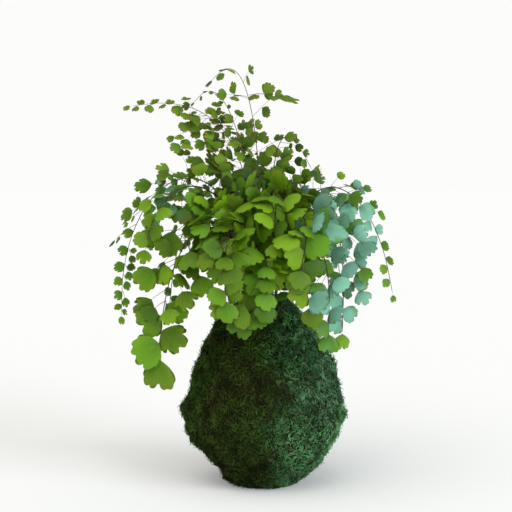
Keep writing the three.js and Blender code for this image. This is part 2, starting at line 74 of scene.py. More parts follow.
class Chance:
    """Even random numbers from 0 to 1, the same for the same seed."""

    def __init__(self, seed: int) -> None:
        """Starts from a seed and throws the first draws away, because small seeds make them alike.

        Args:
            seed: Any whole number.
        """
        self.state = seed
        for _ in range(4):
            self.draw()

    def draw(self) -> float:
        """Returns the next number."""
        self.state = (self.state * 1664525 + 1013904223) % 2**32
        return self.state / 2**32


def unit(vectors: Array) -> Array:
    """Returns vectors at unit length."""
    return vectors / np.linalg.norm(vectors, axis=-1, keepdims=True)


def square_to(direction: Array, along: Array) -> Array:
    """Returns the part of a direction that stands square to another, at unit length."""
    return unit(direction - along * np.sum(direction * along, axis=-1, keepdims=True))


def turned(vector: Array, axis: Array, degrees: float) -> Array:
    """Turns a vector about a unit axis by the right-hand rule.

    Args:
        vector: The vector.
        axis: The axis, at unit length.
        degrees: The turn.

    Returns:
        The vector times the cosine, plus axis x vector times the sine, plus its part along the axis again.
    """
    cosine, sine = math.cos(math.radians(degrees)), math.sin(math.radians(degrees))
    return vector * cosine + np.cross(axis, vector) * sine + axis * np.dot(axis, vector) * (1 - cosine)


def smooth_step(value: Array, low: float, high: float) -> Array:
    """Returns 0 below low, 1 above high and a smooth rise between them."""
    share = np.clip((value - low) / (high - low), 0, 1)
    return share * share * (3 - 2 * share)


def lattice_noise(points: Array, grain: float, seed: int) -> Array:
    """Smooth random lumps in space.

    Each corner of a cubic lattice has a number from a sine hash, and a point mixes its eight corners.

    Args:
        points: Places, with the last axis as x, y and z.
        grain: The lattice's spacing.
        seed: Which noise.

    Returns:
        A number from -1 to 1 for each point.
    """
    cell = np.floor(points / grain)
    share = points / grain - cell
    share = share * share * (3 - 2 * share)
    total = np.zeros(points.shape[:-1])
    for corner in np.ndindex(2, 2, 2):
        key = (cell + corner) @ np.array([127.1, 311.7, 74.7]) + seed * 19.19
        value = np.mod(np.sin(key) * 43758.5453, 1.0)
        total += value * np.prod(np.where(np.array(corner) == 1, share, 1 - share), axis=-1)
    return 2 * total - 1


def smooth_path(points: Array, count: int) -> Array:
    """A polyline's corners rounded into a smooth curve.

    A Catmull-Rom cubic joins each two corners, with the slope at a corner taken from its two neighbours.

    Args:
        points: The corners, (n, 2 or 3).
        count: How many steps to cut the curve into.

    Returns:
        The points at the steps' ends, count + 1 of them.
    """
    last = len(points) - 1
    where = np.linspace(0, last, count + 1)
    first = np.minimum(np.floor(where).astype(int), last)
    t = (where - first)[:, None]
    before, here = points[np.maximum(first - 1, 0)], points[first]
    after, beyond = points[np.minimum(first + 1, last)], points[np.minimum(first + 2, last)]
    enter, leave = (after - before) / 2, (beyond - here) / 2
    cubic = (2 * here - 2 * after + enter + leave) * t**3
    return cubic + (3 * after - 3 * here - 2 * enter - leave) * t**2 + enter * t + here


def layered_noise(points: Array, layers: tuple[Pair, ...], seed: int) -> Array:
    """Returns the sum of noises, one for each layer's grain and depth."""
    return sum(depth * lattice_noise(points, grain, seed + i) for i, (grain, depth) in enumerate(layers))


class Path:
    """A polyline that can be read by the distance along it."""

    def __init__(self, points: Array) -> None:
        """Measures the line.

        Args:
            points: Its corners, (n, 3).
        """
        self.points = np.asarray(points, float)
        steps = np.diff(self.points, axis=0)
        self.steps = np.linalg.norm(steps, axis=1)
        self.ways = steps / self.steps[:, None]
        self.length = float(self.steps.sum())

    def place(self, distance: float) -> tuple[Array, Array]:
        """The line at a distance along it.

        Args:
            distance: The distance from its start.

        Returns:
            The point there, and the direction.
        """
        reached = np.cumsum(self.steps)
        i = min(int(np.searchsorted(reached, distance)), len(self.steps) - 1)
        start = reached[i] - self.steps[i]
        return self.points[i] + self.ways[i] * (distance - start), self.ways[i]


@dataclass(frozen=True)
class Wave:
    """One set of lumps round and up the ball."""

    depth: float
    round: int
    climb: float
    start: float


@dataclass(frozen=True)
class Bump:
    """A place where the moss stands out of its outline, or is tucked in where out is below zero."""

    angle: float
    height: float
    out: float
    wide: float
    tall: float

    def at(self, angle: Array, height: Array) -> Array:
        """Returns how far it stands out at a place: a Gaussian over the turn and the height."""
        aside = np.arctan2(np.sin(angle - self.angle), np.cos(angle - self.angle)) / self.wide
        return self.out * np.exp(-(aside**2) - ((height - self.height) / self.tall) ** 2)


@dataclass(frozen=True)
class MossShape:
    """The outside of the moss wrap: an outline turned about Z, with lumps and a tuck."""

    outline: tuple[Pair, ...] = (
        (25, 0), (40.5, 13), (56, 35), (62.5, 62), (58, 89), (46, 114), (33, 133), (23, 144),
    )
    bands: int = 12
    lip: Pair = (19.5, 147)
    neck: Pair = (16.5, 145)
    waves: tuple[Wave, ...] = (Wave(1.4, 2, 24, 0.6), Wave(1.2, 5, -13, 2.1), Wave(0.7, 8, 7, 0))
    full_above: float = 7
    full_below: float = 132
    tuck: Bump = Bump(math.pi, 14, -6.5, 0.62, 7)
    clear_of_leaves: float = 6.5

    def curve(self, count: int) -> Array:
        """Returns radius and height along the smooth outline, (count + 1, 2)."""
        return smooth_path(np.array(self.outline, float), count)

    def radius(self, height: Array) -> Array:
        """The wrap's radius without its lumps, read on the outline's straight bands.

        Args:
            height: The height.

        Returns:
            The radius there.
        """
        rings = self.curve(self.bands)
        above = np.clip(np.searchsorted(rings[:, 1], height), 1, self.bands)
        low, high = rings[above - 1], rings[above]
        share = (height - low[..., 1]) / (high[..., 1] - low[..., 1])
        return low[..., 0] + share * (high[..., 0] - low[..., 0])

    def relief(self, angle: Array, height: Array) -> Array:
        """How far the moss stands out from its outline.

        Each wave is depth x sin(round x angle + height / climb + start). The tuck is a Gaussian dent. Both
        fade out at the foot and at the neck.

        Args:
            angle: The turn about Z, in radians.
            height: The height.

        Returns:
            Millimetres outwards.
        """
        foot = smooth_step(height, 0, self.full_above)
        neck = smooth_step(height, self.full_below, self.lip[1])
        lumps = sum(w.depth * np.sin(w.round * angle + height / w.climb + w.start) for w in self.waves)
        return foot * (1 - neck) * (lumps + self.tuck.at(angle, height))

    def clear(self, points: Array) -> Array:
        """Returns whether points keep clear of the moss and its pile."""
        height = points[..., 2]
        far = np.hypot(points[..., 0], points[..., 1]) > self.radius(height) + self.clear_of_leaves
        return (height > self.lip[1]) | ((height > 0) & far)


@dataclass(frozen=True)
class FrondPlan:
    """One frond: its arch, the way its leaves face, its sizes and seed, and how it is coloured and filled.

    Scale is how large its leaflets are drawn beside their solids, and fill how closely finer branches are
    added below its shoulder and beyond it. Crowded adds leaflets on all its stems, and none are added above
    the ceiling. Broad is how wide its leaflets are beside others, and wiry how thick its stems are.
    """

    name: str
    foot: Pair
    rise: Triple
    arch: Triple
    tip: Triple
    faces: Triple
    bare: float
    reach: float
    leaf: float
    ends: float
    seed: int
    tint: float = 0.3
    scale: float = 1.1
    fill: Pair = (1, 1)
    crowded: bool = False
    broad: float = 1
    wiry: float = 1
    ceiling: float = 400


FRONDS = (
    FrondPlan("upright_top", (0.5, 2.5), (-2, 3, 230), (-4, 0, 366), (-41, -4, 320), (0, -0.35, 1),
              0.72, 31, 13, 0.7, 11, 0.35, 1.4, (0.35, 0), False, 0.75, 0.6),
    FrondPlan("upper_chain", (-2.5, -1.5), (-4, 1, 230), (-26, 2, 345), (-55, 0, 303), (0, -0.5, 1),
              0.72, 14, 11, 0.8, 17, 0.4, 0.95, (0.35, 0), False, 0.5, 0.6, 296),
    FrondPlan("upper_left", (-3.5, 3.5), (-8, 6, 240), (-14, 10, 318), (-106, 8, 300), (0, -0.8, 1),
              0.44, 36, 14, 0.6, 23, 0.35, 1.3, (0.4, 1.5), True, 0.85, 0.6, 297),
    FrondPlan("upper_right", (4, 2), (6, 5, 208), (0, 4, 330), (38, 0, 250), (0.2, -0.8, 1),
              0.5, 26, 14, 0.7, 31, 0.4, 1, (0.5, 0.2), False, 0.75, 0.7, 280),
    FrondPlan("left_long", (-8, 1), (-16, 2, 300), (-118, 4, 258), (-113, -4, 134), (-0.3, -0.9, 0.8),
              0.34, 32, 16, 0.45, 47, 0.35, 0.95, (0.9, 0.12), False, 0.7, 0.7),
    FrondPlan("left_mid", (-7.5, -4), (-14, -10, 262), (-80, -40, 262), (-90, -52, 192), (-0.2, -1, 0.7),
              0.36, 36, 18, 0.75, 53, 0.25, 0.9, (0.6, 0)),
    FrondPlan("left_low", (-4.5, -8), (-14, -22, 232), (-74, -60, 240), (-80, -54, 109), (-0.2, -1, 0.3),
              0.42, 32, 18, 1.05, 61, 0.25, 1.1, (0.3, 0.2)),
    FrondPlan("front_left", (-1.5, -6), (-6, -18, 236), (-34, -92, 240), (-28, -90, 158), (-0.1, -1, 0.5),
              0.38, 34, 18, 0.8, 71, 0.2, 1.1, (1, 1), True, 1, 1, 232),
    FrondPlan("front_middle", (1.5, -10), (2, -26, 206), (2, -84, 214), (0, -82, 154), (0.1, -1, 0.6),
              0.44, 22, 15, 0.8, 79, 0.35, 1.28, (1, 1), True, 1, 1, 228),
    FrondPlan("front_right", (4.2, -6.2), (10, -22, 232), (42, -88, 246), (26, -86, 178), (0.1, -1, 0.6),
              0.38, 34, 19, 0.85, 83, 0.3, 1.08, (1, 1), True, 1, 1, 236),
    FrondPlan("front_high", (1.5, -2.5), (0, -14, 258), (14, -78, 262), (6, -74, 188), (0.1, -1, 0.9),
              0.44, 38, 18, 0.8, 97, 0.2, 0.98, (0.9, 0.9), True, 1, 1, 236),
    FrondPlan("right_mid", (7.5, -3), (16, -8, 262), (68, -34, 274), (60, -40, 126), (0.3, -1, 0.7),
              0.4, 34, 18, 0.8, 101, 0.4, 0.85, (0.3, 0.05), False, 1, 1, 245),
    FrondPlan("right_long", (8.5, 2.5), (16, 8, 268), (86, 14, 266), (103, 4, 150), (0.3, -0.7, 1),
              0.42, 28, 14, 0.6, 113, 0.4, 0.95, (0.8, 0.12), False, 0.7, 0.8),
    FrondPlan("right_low", (7.5, -7.5), (16, -20, 222), (54, -72, 230), (48, -66, 130), (0.3, -1, 0.4),
              0.4, 30, 18, 0.9, 127, 0.4, 0.84, (0.5, 0.25)),
    FrondPlan("back_right", (5.5, 6.5), (12, 18, 244), (56, 72, 276), (66, 88, 150), (0.5, 0.8, 0.8),
              0.44, 33, 17, 0.7, 131, 0.35, 0.8, (0.4, 0), False, 0.9),
    FrondPlan("back_middle", (0, 9), (-2, 20, 258), (-8, 84, 284), (-14, 98, 146), (0, 1, 0.8),
              0.44, 34, 17, 0.7, 149, 0.3, 0.95, (0.5, 0.8), False, 1, 1, 240),
    FrondPlan("back_left", (-6.5, 6), (-14, 14, 236), (-70, 60, 262), (-80, 72, 128), (-0.6, 0.8, 0.6),
              0.44, 33, 17, 0.7, 157, 0.3, 0.7, (0.2, 0), False, 0.8),
)


@dataclass(frozen=True)
class TwigPlan:
    """A twig that stands out of a frond's stalk, at a share of its length, and its leaflets' sizes.

    The sizes are those at its foot and at its tip. Bare is the share of it that carries no leaflets.
    """

    frond: str
    at: float
    way: Triple
    length: float
    sizes: Pair
    faces: Triple = (0, -1, 0.4)
    bare: float = 0.2


TWIGS = (
    TwigPlan("upright_top", 0.8, (1, -0.3, 0.25), 17, (10, 14), (0, -0.35, 1)),
    TwigPlan("upright_top", 0.8, (1, -0.1, 0.25), 25, (10, 25), (0, -0.8, 0.8), 0.15),
    TwigPlan("upright_top", 0.795, (-1, -0.3, 0.2), 17, (8, 13), (0, -0.3, 1)),
    TwigPlan("upper_chain", 0.88, (-0.6, -0.6, 0.5), 9, (6, 8), (0, -0.4, 1)),
    TwigPlan("upright_top", 0.58, (-0.8, -0.6, 0.4), 13, (9, 12)),
    TwigPlan("upright_top", 0.47, (-0.3, -1, 0.3), 10, (9, 12)),
    TwigPlan("upper_chain", 0.6, (0.7, -0.7, 0.4), 12, (9, 12)),
    TwigPlan("upper_chain", 0.54, (-0.7, -0.7, 0.4), 13, (9, 13)),
    TwigPlan("upper_left", 0.54, (-1, -0.5, 0.1), 30, (12, 13), (0, -0.8, 0.7)),
    TwigPlan("upper_left", 0.6, (-1, -0.4, 0.25), 44, (11, 12), (0, -0.7, 0.8)),
    TwigPlan("upper_left", 0.64, (-0.8, -0.9, 0.2), 26, (11, 12), (0, -0.8, 0.7)),
    TwigPlan("upper_left", 0.66, (-1, -0.2, 0.1), 38, (10, 11), (0, -0.6, 0.8)),
    TwigPlan("upper_left", 0.72, (-0.8, -0.5, -0.6), 22, (8, 10), (0, -0.8, 0.7), 0.5),
    *(TwigPlan("left_long", at, (-0.4, -0.5, 0.5), 9, (9, 10), (-0.2, -0.9, 0.5))
      for at in (0.36, 0.4, 0.44, 0.48, 0.52, 0.56)),
    *(TwigPlan("left_long", at, (0.5, -0.3, -1), 5, (8, 9), (0, -1, 0.2))
      for at in (0.79, 0.84, 0.87, 0.92, 0.95)),
    *(TwigPlan("left_long", at, (-0.1, -1, 0.05), 13, (12, 14), (-0.1, -0.9, 0.8), 0.5)
      for at in (0.34, 0.38, 0.42, 0.46, 0.5, 0.54, 0.58, 0.62)),
    *(TwigPlan("left_long", at, (-0.3, -1, -0.3), 20, (13, 15), (-0.1, -0.9, 0.8))
      for at in (0.33, 0.41, 0.49)),
    *(TwigPlan("left_mid", at, (-0.1, -1, 0.3), 12, (13, 15), (-0.1, -1, 0.6), 0.5)
      for at in (0.38, 0.44, 0.5)),
    TwigPlan("front_middle", 0.84, (-0.8, -0.3, -0.7), 22, (13, 15)),
    TwigPlan("front_middle", 0.97, (-0.9, -0.1, -0.6), 15, (13, 14)),
    TwigPlan("front_left", 0.97, (0.7, 0.1, -0.9), 20, (13, 15)),
    TwigPlan("front_left", 0.93, (0.2, 0.2, -1), 22, (14, 15)),
    TwigPlan("front_right", 0.98, (0.3, 0.3, -1), 25, (13, 15)),
    TwigPlan("right_mid", 0.64, (1, -0.4, -0.3), 20, (14, 16), (0.2, -1, 0.3), 0.3),
    TwigPlan("right_mid", 0.72, (1, -0.4, -0.5), 18, (14, 16), (0.2, -1, 0.3), 0.3),
    TwigPlan("right_mid", 0.8, (1, -0.3, -0.7), 15, (13, 15), (0.2, -1, 0.3), 0.3),
    TwigPlan("right_mid", 0.1, (0.2, -1, 0.1), 16, (12, 14)),
    TwigPlan("front_right", 0.12, (0.5, -1, 0), 18, (12, 14)),
    TwigPlan("right_low", 0.16, (-0.5, -1, 0), 14, (12, 14)),
    TwigPlan("back_middle", 0.12, (0.9, 0.3, 0.2), 16, (13, 14)),
    TwigPlan("back_right", 0.14, (1, -0.2, -0.2), 18, (13, 14)),
    *(TwigPlan("left_long", at, (-1, -0.1, -0.45), 20, (6, 9), (-0.9, 0.05, 1), 0.45)
      for at in (0.58, 0.63, 0.66, 0.71)),
)


@dataclass(frozen=True)
class RimPoint:
    """A point of a leaflet's rim: its angle in degrees, its share of the length, and if it is a notch."""

    angle: float
    share: float
    notch: bool = False


@dataclass(frozen=True)
class Turn:
    """A way to stand a leaflet: turned about its length and across it in degrees, and a share of its size."""

    roll: float
    pitch: float
    size: float


@dataclass(frozen=True)
class Rule:
    """The numbers that every frond grows by."""

    stalk_foot: float = 136
    stalk_steps: int = 11
    stalk_radius: float = 0.95
    branch_steps: int = 2
    branch_radius: float = 0.55
    branch_foot: float = 1.3
    branch_gap: float = 14.5
    branch_gap_at_tip: float = 0.6
    branch_least: float = 13
    branch_angle: float = 56
    branch_sag: float = 0.3
    stalk_tip: float = 5
    leaflet_gap: float = 0.74
    leaflet_gap_on_stalk: float = 0.55
    leaflet_first: float = 0.55
    leaflet_last: float = 0.8
    leaflet_on_branch: float = 0.95
    leaflet_angle: float = 64
    leaflet_sag: float = 0.22
    tip_sink: float = 0.7
    reach_spread: float = 0.3
    size_spread: float = 0.2
    tilt_spread: float = 0.5
    thickness: float = 0.6
    gap: float = 0.3
    own_gap: float = 0.05
    cup: float = 0.25
    droop: float = 1.2
    middle: float = 0.55
    spread: float = 0.62
    neck: Pair = (1.2, 0.4)
    large: float = 15
    large_rim: tuple[RimPoint, ...] = (
        RimPoint(47, 0.72), RimPoint(31, 0.94), RimPoint(15, 0.86, True), RimPoint(0, 1),
    )
    small_rim: tuple[RimPoint, ...] = (RimPoint(49, 0.74), RimPoint(23, 1), RimPoint(0, 0.84, True))
    leaflet_turns: tuple[Turn, ...] = (
        Turn(0, 0, 1), Turn(0, 16, 1), Turn(0, -18, 1), Turn(24, 8, 0.96), Turn(-24, 8, 0.96),
        Turn(38, -22, 0.9), Turn(-38, -22, 0.9), Turn(0, 36, 0.86), Turn(0, -40, 0.86),
        Turn(55, 20, 0.8), Turn(-55, 20, 0.8), Turn(0, 0, 0.66), Turn(30, 30, 0.62),
        Turn(-30, 30, 0.62),
    )
    branch_lifts: tuple[float, ...] = (0, 18, -18, 36, -36, 55, -55)


class Blade:
    """A leaflet as a thin slab: where it is, which way it lies, and the walls and edges that bound it."""

    WALLS = 6
    EDGES = 11

    def __init__(self, rule: Rule, foot: Array, along: Array, normal: Array, size: float, turn: Turn) -> None:
        """Stands the slab at its foot.

        Args:
            rule: The rule that it grows by.
            foot: The point on its stem.
            along: The way it points, before its own turn.
            normal: The way it faces, before its own turn.
            size: Its length.
            turn: How it is turned across and about its length.
        """
        across = unit(np.cross(normal, along))
        lengthwise = turned(along, across, -turn.pitch)
        face = turned(np.cross(lengthwise, across), lengthwise, turn.roll)
        self.foot, self.size = foot, size
        self.axes = np.array([lengthwise, np.cross(face, lengthwise), face])
        outline, self.walls = self.outline(rule, size)
        heights = self.height(rule, outline[:, 0], outline[:, 1], size)
        self.corners = foot + np.column_stack([outline, heights]) @ self.axes
        loop = np.vstack([foot, self.corners])
        edges = np.stack([loop, np.roll(loop, -1, axis=0)], axis=1)
        spine = np.array([[foot, self.corners[len(self.corners) // 2]]])
        self.edges = np.concatenate([edges, np.repeat(spine, self.EDGES - len(edges), axis=0)])
        self.middle = foot + lengthwise * size * rule.middle
        self.highest = self.height(rule, size / 2, 0, size)
        self.lowest = float(heights.min())

    @staticmethod
    def height(rule: Rule, x: Array, y: Array, size: float | Array) -> Array:
        """Returns a leaflet's height above its flat plane: an arch along it less a droop to its sides."""
        along, aside = x / size, y / size
        return rule.cup * size * (0.5 * (along - along**2) - rule.droop * aside**2)

    @classmethod
    def outline(cls, rule: Rule, size: float) -> tuple[Array, Array]:
        """The corners of a leaflet in its own plane, and the straight walls round them.

        The walls pass over the notches.

        Args:
            rule: The rule that it grows by.
            size: Its length.

        Returns:
            The corners, (n, 2), and the walls as outward x, outward y and distance, (6, 3).
        """
        half = rule.small_rim if size < rule.large else rule.large_rim
        whole = [(-p.angle, p.share, p.notch) for p in half]
        whole += [(p.angle, p.share, p.notch) for p in reversed(half[:-1])]
        angle, share, notch = (np.array(column) for column in zip(*whole))
        rim = np.column_stack([np.cos(np.radians(angle)), np.sin(np.radians(angle))]) * share[:, None] * size
        hull = np.vstack([[0, 0], rim[~notch.astype(bool)]])
        step = np.roll(hull, -1, axis=0) - hull
        outward = np.column_stack([step[:, 1], -step[:, 0]]) / np.hypot(step[:, 0], step[:, 1])[:, None]
        walls = np.column_stack([outward, np.sum(outward * hull, axis=1)])
        walls = np.vstack([walls, np.repeat(walls[-1:], cls.WALLS - len(walls), axis=0)])
        long, wide = rule.neck
        return np.vstack([[long, -wide], rim, [long, wide]]), walls


def stretches_meet(stretches: Array, walls: Array, highest: Array, lowest: Array, margin: Array) -> bool:
    """Whether any straight stretch passes through its slab.

    A stretch is cut by each plane of its slab in turn, and meets the slab if any of it is left.

    Args:
        stretches: Their starts and ends in their slab's own axes, (..., 2, 3).
        walls: The slab's side planes, (..., walls, 3).
        highest: Its top plane, (...).
        lowest: Its bottom plane, (...).
        margin: How far every plane is moved out, (...).

    Returns:
        Whether any of them does.
    """
    walls = walls + margin[..., None, None] * UP
    highest, lowest = highest + margin, lowest - margin

    def outside(points: Array) -> Array:
        """Returns how far points lie outside each plane."""
        sides = walls[..., 0] * points[..., 0:1] + walls[..., 1] * points[..., 1:2] - walls[..., 2]
        above, below = points[..., 2] - highest, lowest - points[..., 2]
        return np.concatenate([above[..., None], below[..., None], sides], -1)

    first, second = outside(stretches[..., 0, :]), outside(stretches[..., 1, :])
    out_first, out_second = first > 0, second > 0
    step = np.where(out_first == out_second, 1, first - second)
    crossing = first / step
    enter = np.where(out_first & ~out_second, crossing, 0).max(axis=-1)
    leave = np.where(out_second & ~out_first, crossing, 1).min(axis=-1)
    return bool(np.any(~np.any(out_first & out_second, axis=-1) & (enter <= leave)))


def stretch_distance(start_a: Array, end_a: Array, start_b: Array, end_b: Array) -> Array:
    """The distance between straight stretches, from the nearest points held within both.

    Args:
        start_a: Where the first ones start, (..., 3).
        end_a: Where they end.
        start_b: Where the others start.
        end_b: Where they end.

    Returns:
        The distances, (...).
    """
    u, v, w = end_a - start_a, end_b - start_b, start_a - start_b
    uu, uv, vv = (u * u).sum(-1), (u * v).sum(-1), (v * v).sum(-1)
    uw, vw = (u * w).sum(-1), (v * w).sum(-1)
    skew = uu * vv - uv * uv
    first = np.where(skew > 0, np.clip((uv * vw - vv * uw) / np.where(skew > 0, skew, 1), 0, 1), 0)
    on_b = np.clip((uv * first + vw) / vv, 0, 1)
    on_a = np.clip((uv * on_b - uw) / uu, 0, 1)
    return np.linalg.norm(w + u * on_a[..., None] - v * on_b[..., None], axis=-1)


class Standing:
    """Where stems and leaflets stand already, so that what grows later stays clear of them."""

    ROOM = 6000

    def __init__(self, rule: Rule) -> None:
        """Makes room for the whole plant.

        Args:
            rule: The rule that it grows by.
        """
        self.rule = rule
        self.blades, self.stretches, room = 0, 0, self.ROOM
        self.foot, self.middle, self.centre = (np.zeros((room, 3)) for _ in range(3))
        self.axes, self.walls = np.zeros((room, 3, 3)), np.zeros((room, Blade.WALLS, 3))
        self.edges, self.ends = np.zeros((room, Blade.EDGES, 2, 3)), np.zeros((room, 2, 3))
        self.size, self.highest, self.lowest = (np.zeros(room) for _ in range(3))
        self.thickness, self.half, self.radius = (np.zeros(room) for _ in range(3))
        self.blade_frond, self.stem_frond, self.stem = (np.zeros(room, int) for _ in range(3))

    def add_blade(self, blade: Blade, frond: int, thickness: float) -> None:
        """Notes a leaflet.

        Args:
            blade: The leaflet.
            frond: The number of its frond.
            thickness: Its thickness.
        """
        i = self.blades
        self.foot[i], self.middle[i], self.axes[i] = blade.foot, blade.middle, blade.axes
        self.walls[i], self.edges[i], self.size[i] = blade.walls, blade.edges, blade.size
        self.highest[i], self.lowest[i] = blade.highest, blade.lowest
        self.thickness[i], self.blade_frond[i] = thickness, frond
        self.blades += 1

    def add_stem(self, points: Array, radius: float, frond: int, stem: int) -> None:
        """Notes a stem's straight stretches.

        Args:
            points: Its corners.
            radius: Its radius.
            frond: The number of its frond.
            stem: Its own number.
        """
        here = slice(self.stretches, self.stretches + len(points) - 1)
        self.ends[here, 0], self.ends[here, 1] = points[:-1], points[1:]
        self.centre[here] = (points[:-1] + points[1:]) / 2
        self.half[here] = np.linalg.norm(points[1:] - points[:-1], axis=1) / 2
        self.radius[here], self.stem_frond[here], self.stem[here] = radius, frond, stem
        self.stretches = here.stop

    def blade_clear(self, blade: Blade, frond: int, stem: int, thickness: float, gap: float) -> bool:
        """Whether a leaflet keeps its gaps, full to other fronds and small to its own, but for its own stem.

        Args:
            blade: The leaflet.
            frond: The frond that it belongs to.
            stem: The stem that it stands on.
            thickness: Its thickness.
            gap: Its gap to other fronds.

        Returns:
            Whether it has room.
        """
        n, rule = self.stretches, self.rule
        reach = rule.spread * blade.size + self.half[:n] + 2 * rule.stalk_radius
        close = np.linalg.norm(self.centre[:n] - blade.middle, axis=1) <= reach
        other = np.flatnonzero(close & (self.stem[:n] != stem))
        margin = self.radius[other] + thickness / 2 + np.where(self.stem_frond[other] == frond, 0, gap)
        local = (self.ends[other] - blade.foot) @ blade.axes.T
        if stretches_meet(local, blade.walls, blade.highest, blade.lowest, margin):
            return False
        n = self.blades
        apart = np.linalg.norm(self.middle[:n] - blade.middle, axis=1)
        margin = (self.thickness[:n] + thickness) / 2
        margin = margin + np.where(self.blade_frond[:n] == frond, rule.own_gap, gap)
        near = np.flatnonzero(apart <= rule.spread * (self.size[:n] + blade.size) + margin)
        margin = margin[near]
        local = np.einsum("nij,enkj->enki", self.axes[near], blade.edges[:, None] - self.foot[near][:, None])
        if stretches_meet(local, self.walls[near], self.highest[near], self.lowest[near], margin):
            return False
        local = (self.edges[near] - blade.foot) @ blade.axes.T
        return not stretches_meet(local, blade.walls, blade.highest, blade.lowest, margin[:, None])

    def branch_clear(self, points: Array, frond: int, radius: float, gap: float) -> bool:
        """Whether a branch keeps clear of other fronds' stems and of every leaflet.

        Args:
            points: Its corners.
            frond: The frond that it belongs to.
            radius: Its radius.
            gap: Its gap to other fronds.

        Returns:
            Whether it has room.
        """
        starts, ends = points[:-1, None], points[1:, None]
        other = np.flatnonzero(self.stem_frond[: self.stretches] != frond)
        apart = stretch_distance(starts, ends, self.ends[other, 0], self.ends[other, 1])
        if np.any(apart < radius + self.radius[other] + gap):
            return False
        n = self.blades
        margin = radius + self.thickness[:n] / 2 + np.where(self.blade_frond[:n] == frond, 0, gap)
        local = np.einsum("nij,enkj->enki", self.axes[:n], np.stack([starts, ends], 2) - self.foot[:n, None])
        return not stretches_meet(local, self.walls[:n], self.highest[:n], self.lowest[:n], margin)


class StemKind(Enum):
    """Which stem of a frond this is."""

    STALK = 0
    BRANCH = 1


@dataclass
class Stem:
    """A stalk or branch that has grown, and the way its leaves face."""

    kind: StemKind
    path: Path
    normal: Array
    number: int


@dataclass
class Frond:
    """A frond that has grown."""

    plan: FrondPlan
    number: int
    stems: list[Stem] = field(default_factory=list)
    blades: list[Blade] = field(default_factory=list)


@dataclass(frozen=True)
class Fill:
    """How the finer leaflets are added in the gaps of a frond: thinner ones on more and shorter branches."""

    thickness: float = 0.3
    stem_radius: float = 0.4
    branch_radius: float = 0.25
    gap: float = 0.12
    step: float = 6
    reach: float = 0.85
    least: float = 7
    size: Pair = (0.75, 1)
    lifts: tuple[float, ...] = (28, -28, 50, -50, 70, -70, 15, -15)
    from_share: float = 0.6
    shoulder: float = 0.56
    facing: Triple = (1, 1.3, 0.55)
    crowd: float = 0.8
    crowd_turns: int = 5
    cover_lean: float = 14
    cover_reach: Pair = (3.5, 7)
    cover_bend: tuple[float, ...] = (0, 0.3, 0.65, 1)
    cover_step: float = 0.55
    cover_sizes: tuple[float, ...] = (1, 0.8)
    twig_sag: float = 4
    twig_gaps: Pair = (0.5, 0.45)
    seed: int = 1000


